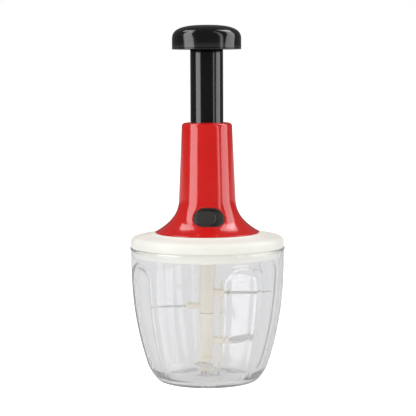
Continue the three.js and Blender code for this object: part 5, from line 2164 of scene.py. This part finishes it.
@dataclass
class Studio:
    """The camera, placed in mm, and the lamps, floor and background, in metres."""

    distance: float = 1248.7
    height: float = 253.4
    across: float = -0.52
    pitch: float = 5.2
    roll: float = -0.25
    yaw: float = -0.05
    focal_px: float = 1551.4
    frame_px: float = 416.0
    sensor: float = 36.0
    clip_end: float = 50.0
    softboxes: tuple[Softbox, ...] = (
        Softbox("left_box", -59, 34, 4.1, 18.5),
        Softbox("right_strip", 50.5, 10, 2.3),
        Softbox("right_box", 82, 35, 3.0, -24.7),
    )
    ceiling: tuple[CeilingBox, ...] = (
        CeilingBox("left_ceiling", (-0.44, 0.26, 0.86), (-0.17, 0.27, -0.155), 0.62, 0.36, 3.6),
        CeilingBox("right_ceiling", (0.44, 0.3, 0.84), (0.326, 0.522, -0.316), 0.72, 0.4, 3.0),
    )
    aim_z: float = 0.12
    key_watts: float = 3.0
    key_size: float = 1.2
    key_place: Triple = (-0.7, -1.0, 1.3)
    room_levels: Pair = (0.52, 1.16)
    room_span: Pair = (-0.1, 0.7)
    through_levels: Pair = (0.56, 0.38)
    through_span: Pair = (-0.1, 0.6)
    gloss_level: float = 0.13
    floor_size: float = 12.0
    floor_drop: float = 0.0002
    floor_lift: float = 0.4
    floor_tone: Colour = (0.93, 0.93, 0.93)
    mirrored_tone: Colour = (0.5, 0.5, 0.5)
    through_tone: Colour = (0.66, 0.66, 0.67)

    def camera(self) -> None:
        """Sets the camera where the photographer's stood."""
        data = bpy.data.cameras.new("camera")
        data.sensor_width = self.sensor
        data.lens = self.focal_px / self.frame_px * self.sensor
        data.clip_end = self.clip_end
        turn = (
            Matrix.Rotation(math.radians(self.yaw), 4, "Z")
            @ Matrix.Rotation(math.radians(90 - self.pitch), 4, "X")
            @ Matrix.Rotation(math.radians(self.roll), 4, "Z")
        )
        place = Matrix.Translation(Vector((self.across, -self.distance, self.height)) * MM)
        bpy.context.scene.camera = link_in("camera", data, place @ turn)

    def world(self) -> None:
        """Sets a white background and a room light, dimmer in gloss and through clear plastic."""
        world = bpy.data.worlds.new("studio")
        bpy.context.scene.world = world
        world.use_nodes = True
        board = NodeBoard(world.node_tree)
        path = board.add("ShaderNodeLightPath")
        direction = board.add("ShaderNodeTexCoord")
        split = board.add("ShaderNodeSeparateXYZ")
        board.link(direction.outputs["Generated"], split.inputs[0])
        room = board.spread(split.outputs["Z"], *self.room_levels, self.room_span)
        through = board.spread(split.outputs["Z"], *self.through_levels, self.through_span)
        level = board.mix(Mix.LEVEL, path.outputs["Is Glossy Ray"], room, self.gloss_level)
        level = board.mix(Mix.LEVEL, path.outputs["Is Transmission Ray"], level, through)
        level = board.mix(Mix.LEVEL, path.outputs["Is Camera Ray"], level, 1.0)
        background = board.add("ShaderNodeBackground", Color=(1, 1, 1, 1))
        output = board.add("ShaderNodeOutputWorld")
        board.link(level, background.inputs["Strength"])
        board.link(background.outputs[0], output.inputs["Surface"])

    def floor(self) -> None:
        """Lays a pale floor that keeps the object's shadow."""
        deselect_all()
        bpy.ops.mesh.primitive_plane_add(size=self.floor_size, location=(0, 0, -self.floor_drop))
        floor = bpy.context.active_object
        floor.name = "studio_floor"
        material, board = blank_material("floor_white")
        path = board.add("ShaderNodeLightPath")
        tone = board.mix(Mix.COLOUR, path.outputs["Is Glossy Ray"], self.floor_tone, self.mirrored_tone)
        tone = board.mix(Mix.COLOUR, path.outputs["Is Transmission Ray"], tone, self.through_tone)
        white = board.add("ShaderNodeBsdfDiffuse")
        lift = board.add("ShaderNodeEmission", Color=(1, 1, 1, 1))
        both = board.add("ShaderNodeAddShader")
        output = board.add("ShaderNodeOutputMaterial")
        board.link(tone, white.inputs["Color"])
        board.link(board.mix(Mix.LEVEL, path.outputs["Is Camera Ray"], 0.0, self.floor_lift),
                   lift.inputs["Strength"])
        board.link(white.outputs[0], both.inputs[0])
        board.link(lift.outputs[0], both.inputs[1])
        board.link(both.outputs[0], output.inputs["Surface"])
        dress(floor, material)

    def key(self, aim: Vector) -> None:
        """Hangs a soft lamp above, in front and to the left.

        Args:
            aim: The place that it points to.
        """
        data = bpy.data.lights.new("key", "AREA")
        data.shape = "DISK"
        data.size = self.key_size
        data.energy = self.key_watts
        place = Vector(self.key_place)
        turn = (aim - place).to_track_quat("-Z", "Y").to_matrix().to_4x4()
        lamp = link_in("key", data, Matrix.Translation(place) @ turn)
        lamp.visible_camera = False
        lamp.visible_glossy = False

    def build(self) -> None:
        """Sets up the whole studio."""
        bpy.context.scene.view_settings.view_transform = "Standard"
        aim = Vector((0, 0, self.aim_z))
        self.camera()
        self.world()
        self.floor()
        self.key(aim)
        for panel in self.softboxes + self.ceiling:
            panel.build(aim)


def main() -> None:
    """Builds the studio and every sub-assembly in order."""
    logging.basicConfig(level=logging.INFO, format="%(message)s")
    finishes = Finishes()
    Studio().build()
    tower = Tower()
    parts = (
        Bowl(), BladeUnit(), Lid(), tower, Lock(tower), Plunger(), Spring(), Hub(), InnerWorks(),
    )
    for part in parts:
        part.build(finishes)


if __name__ == "__main__":
    main()
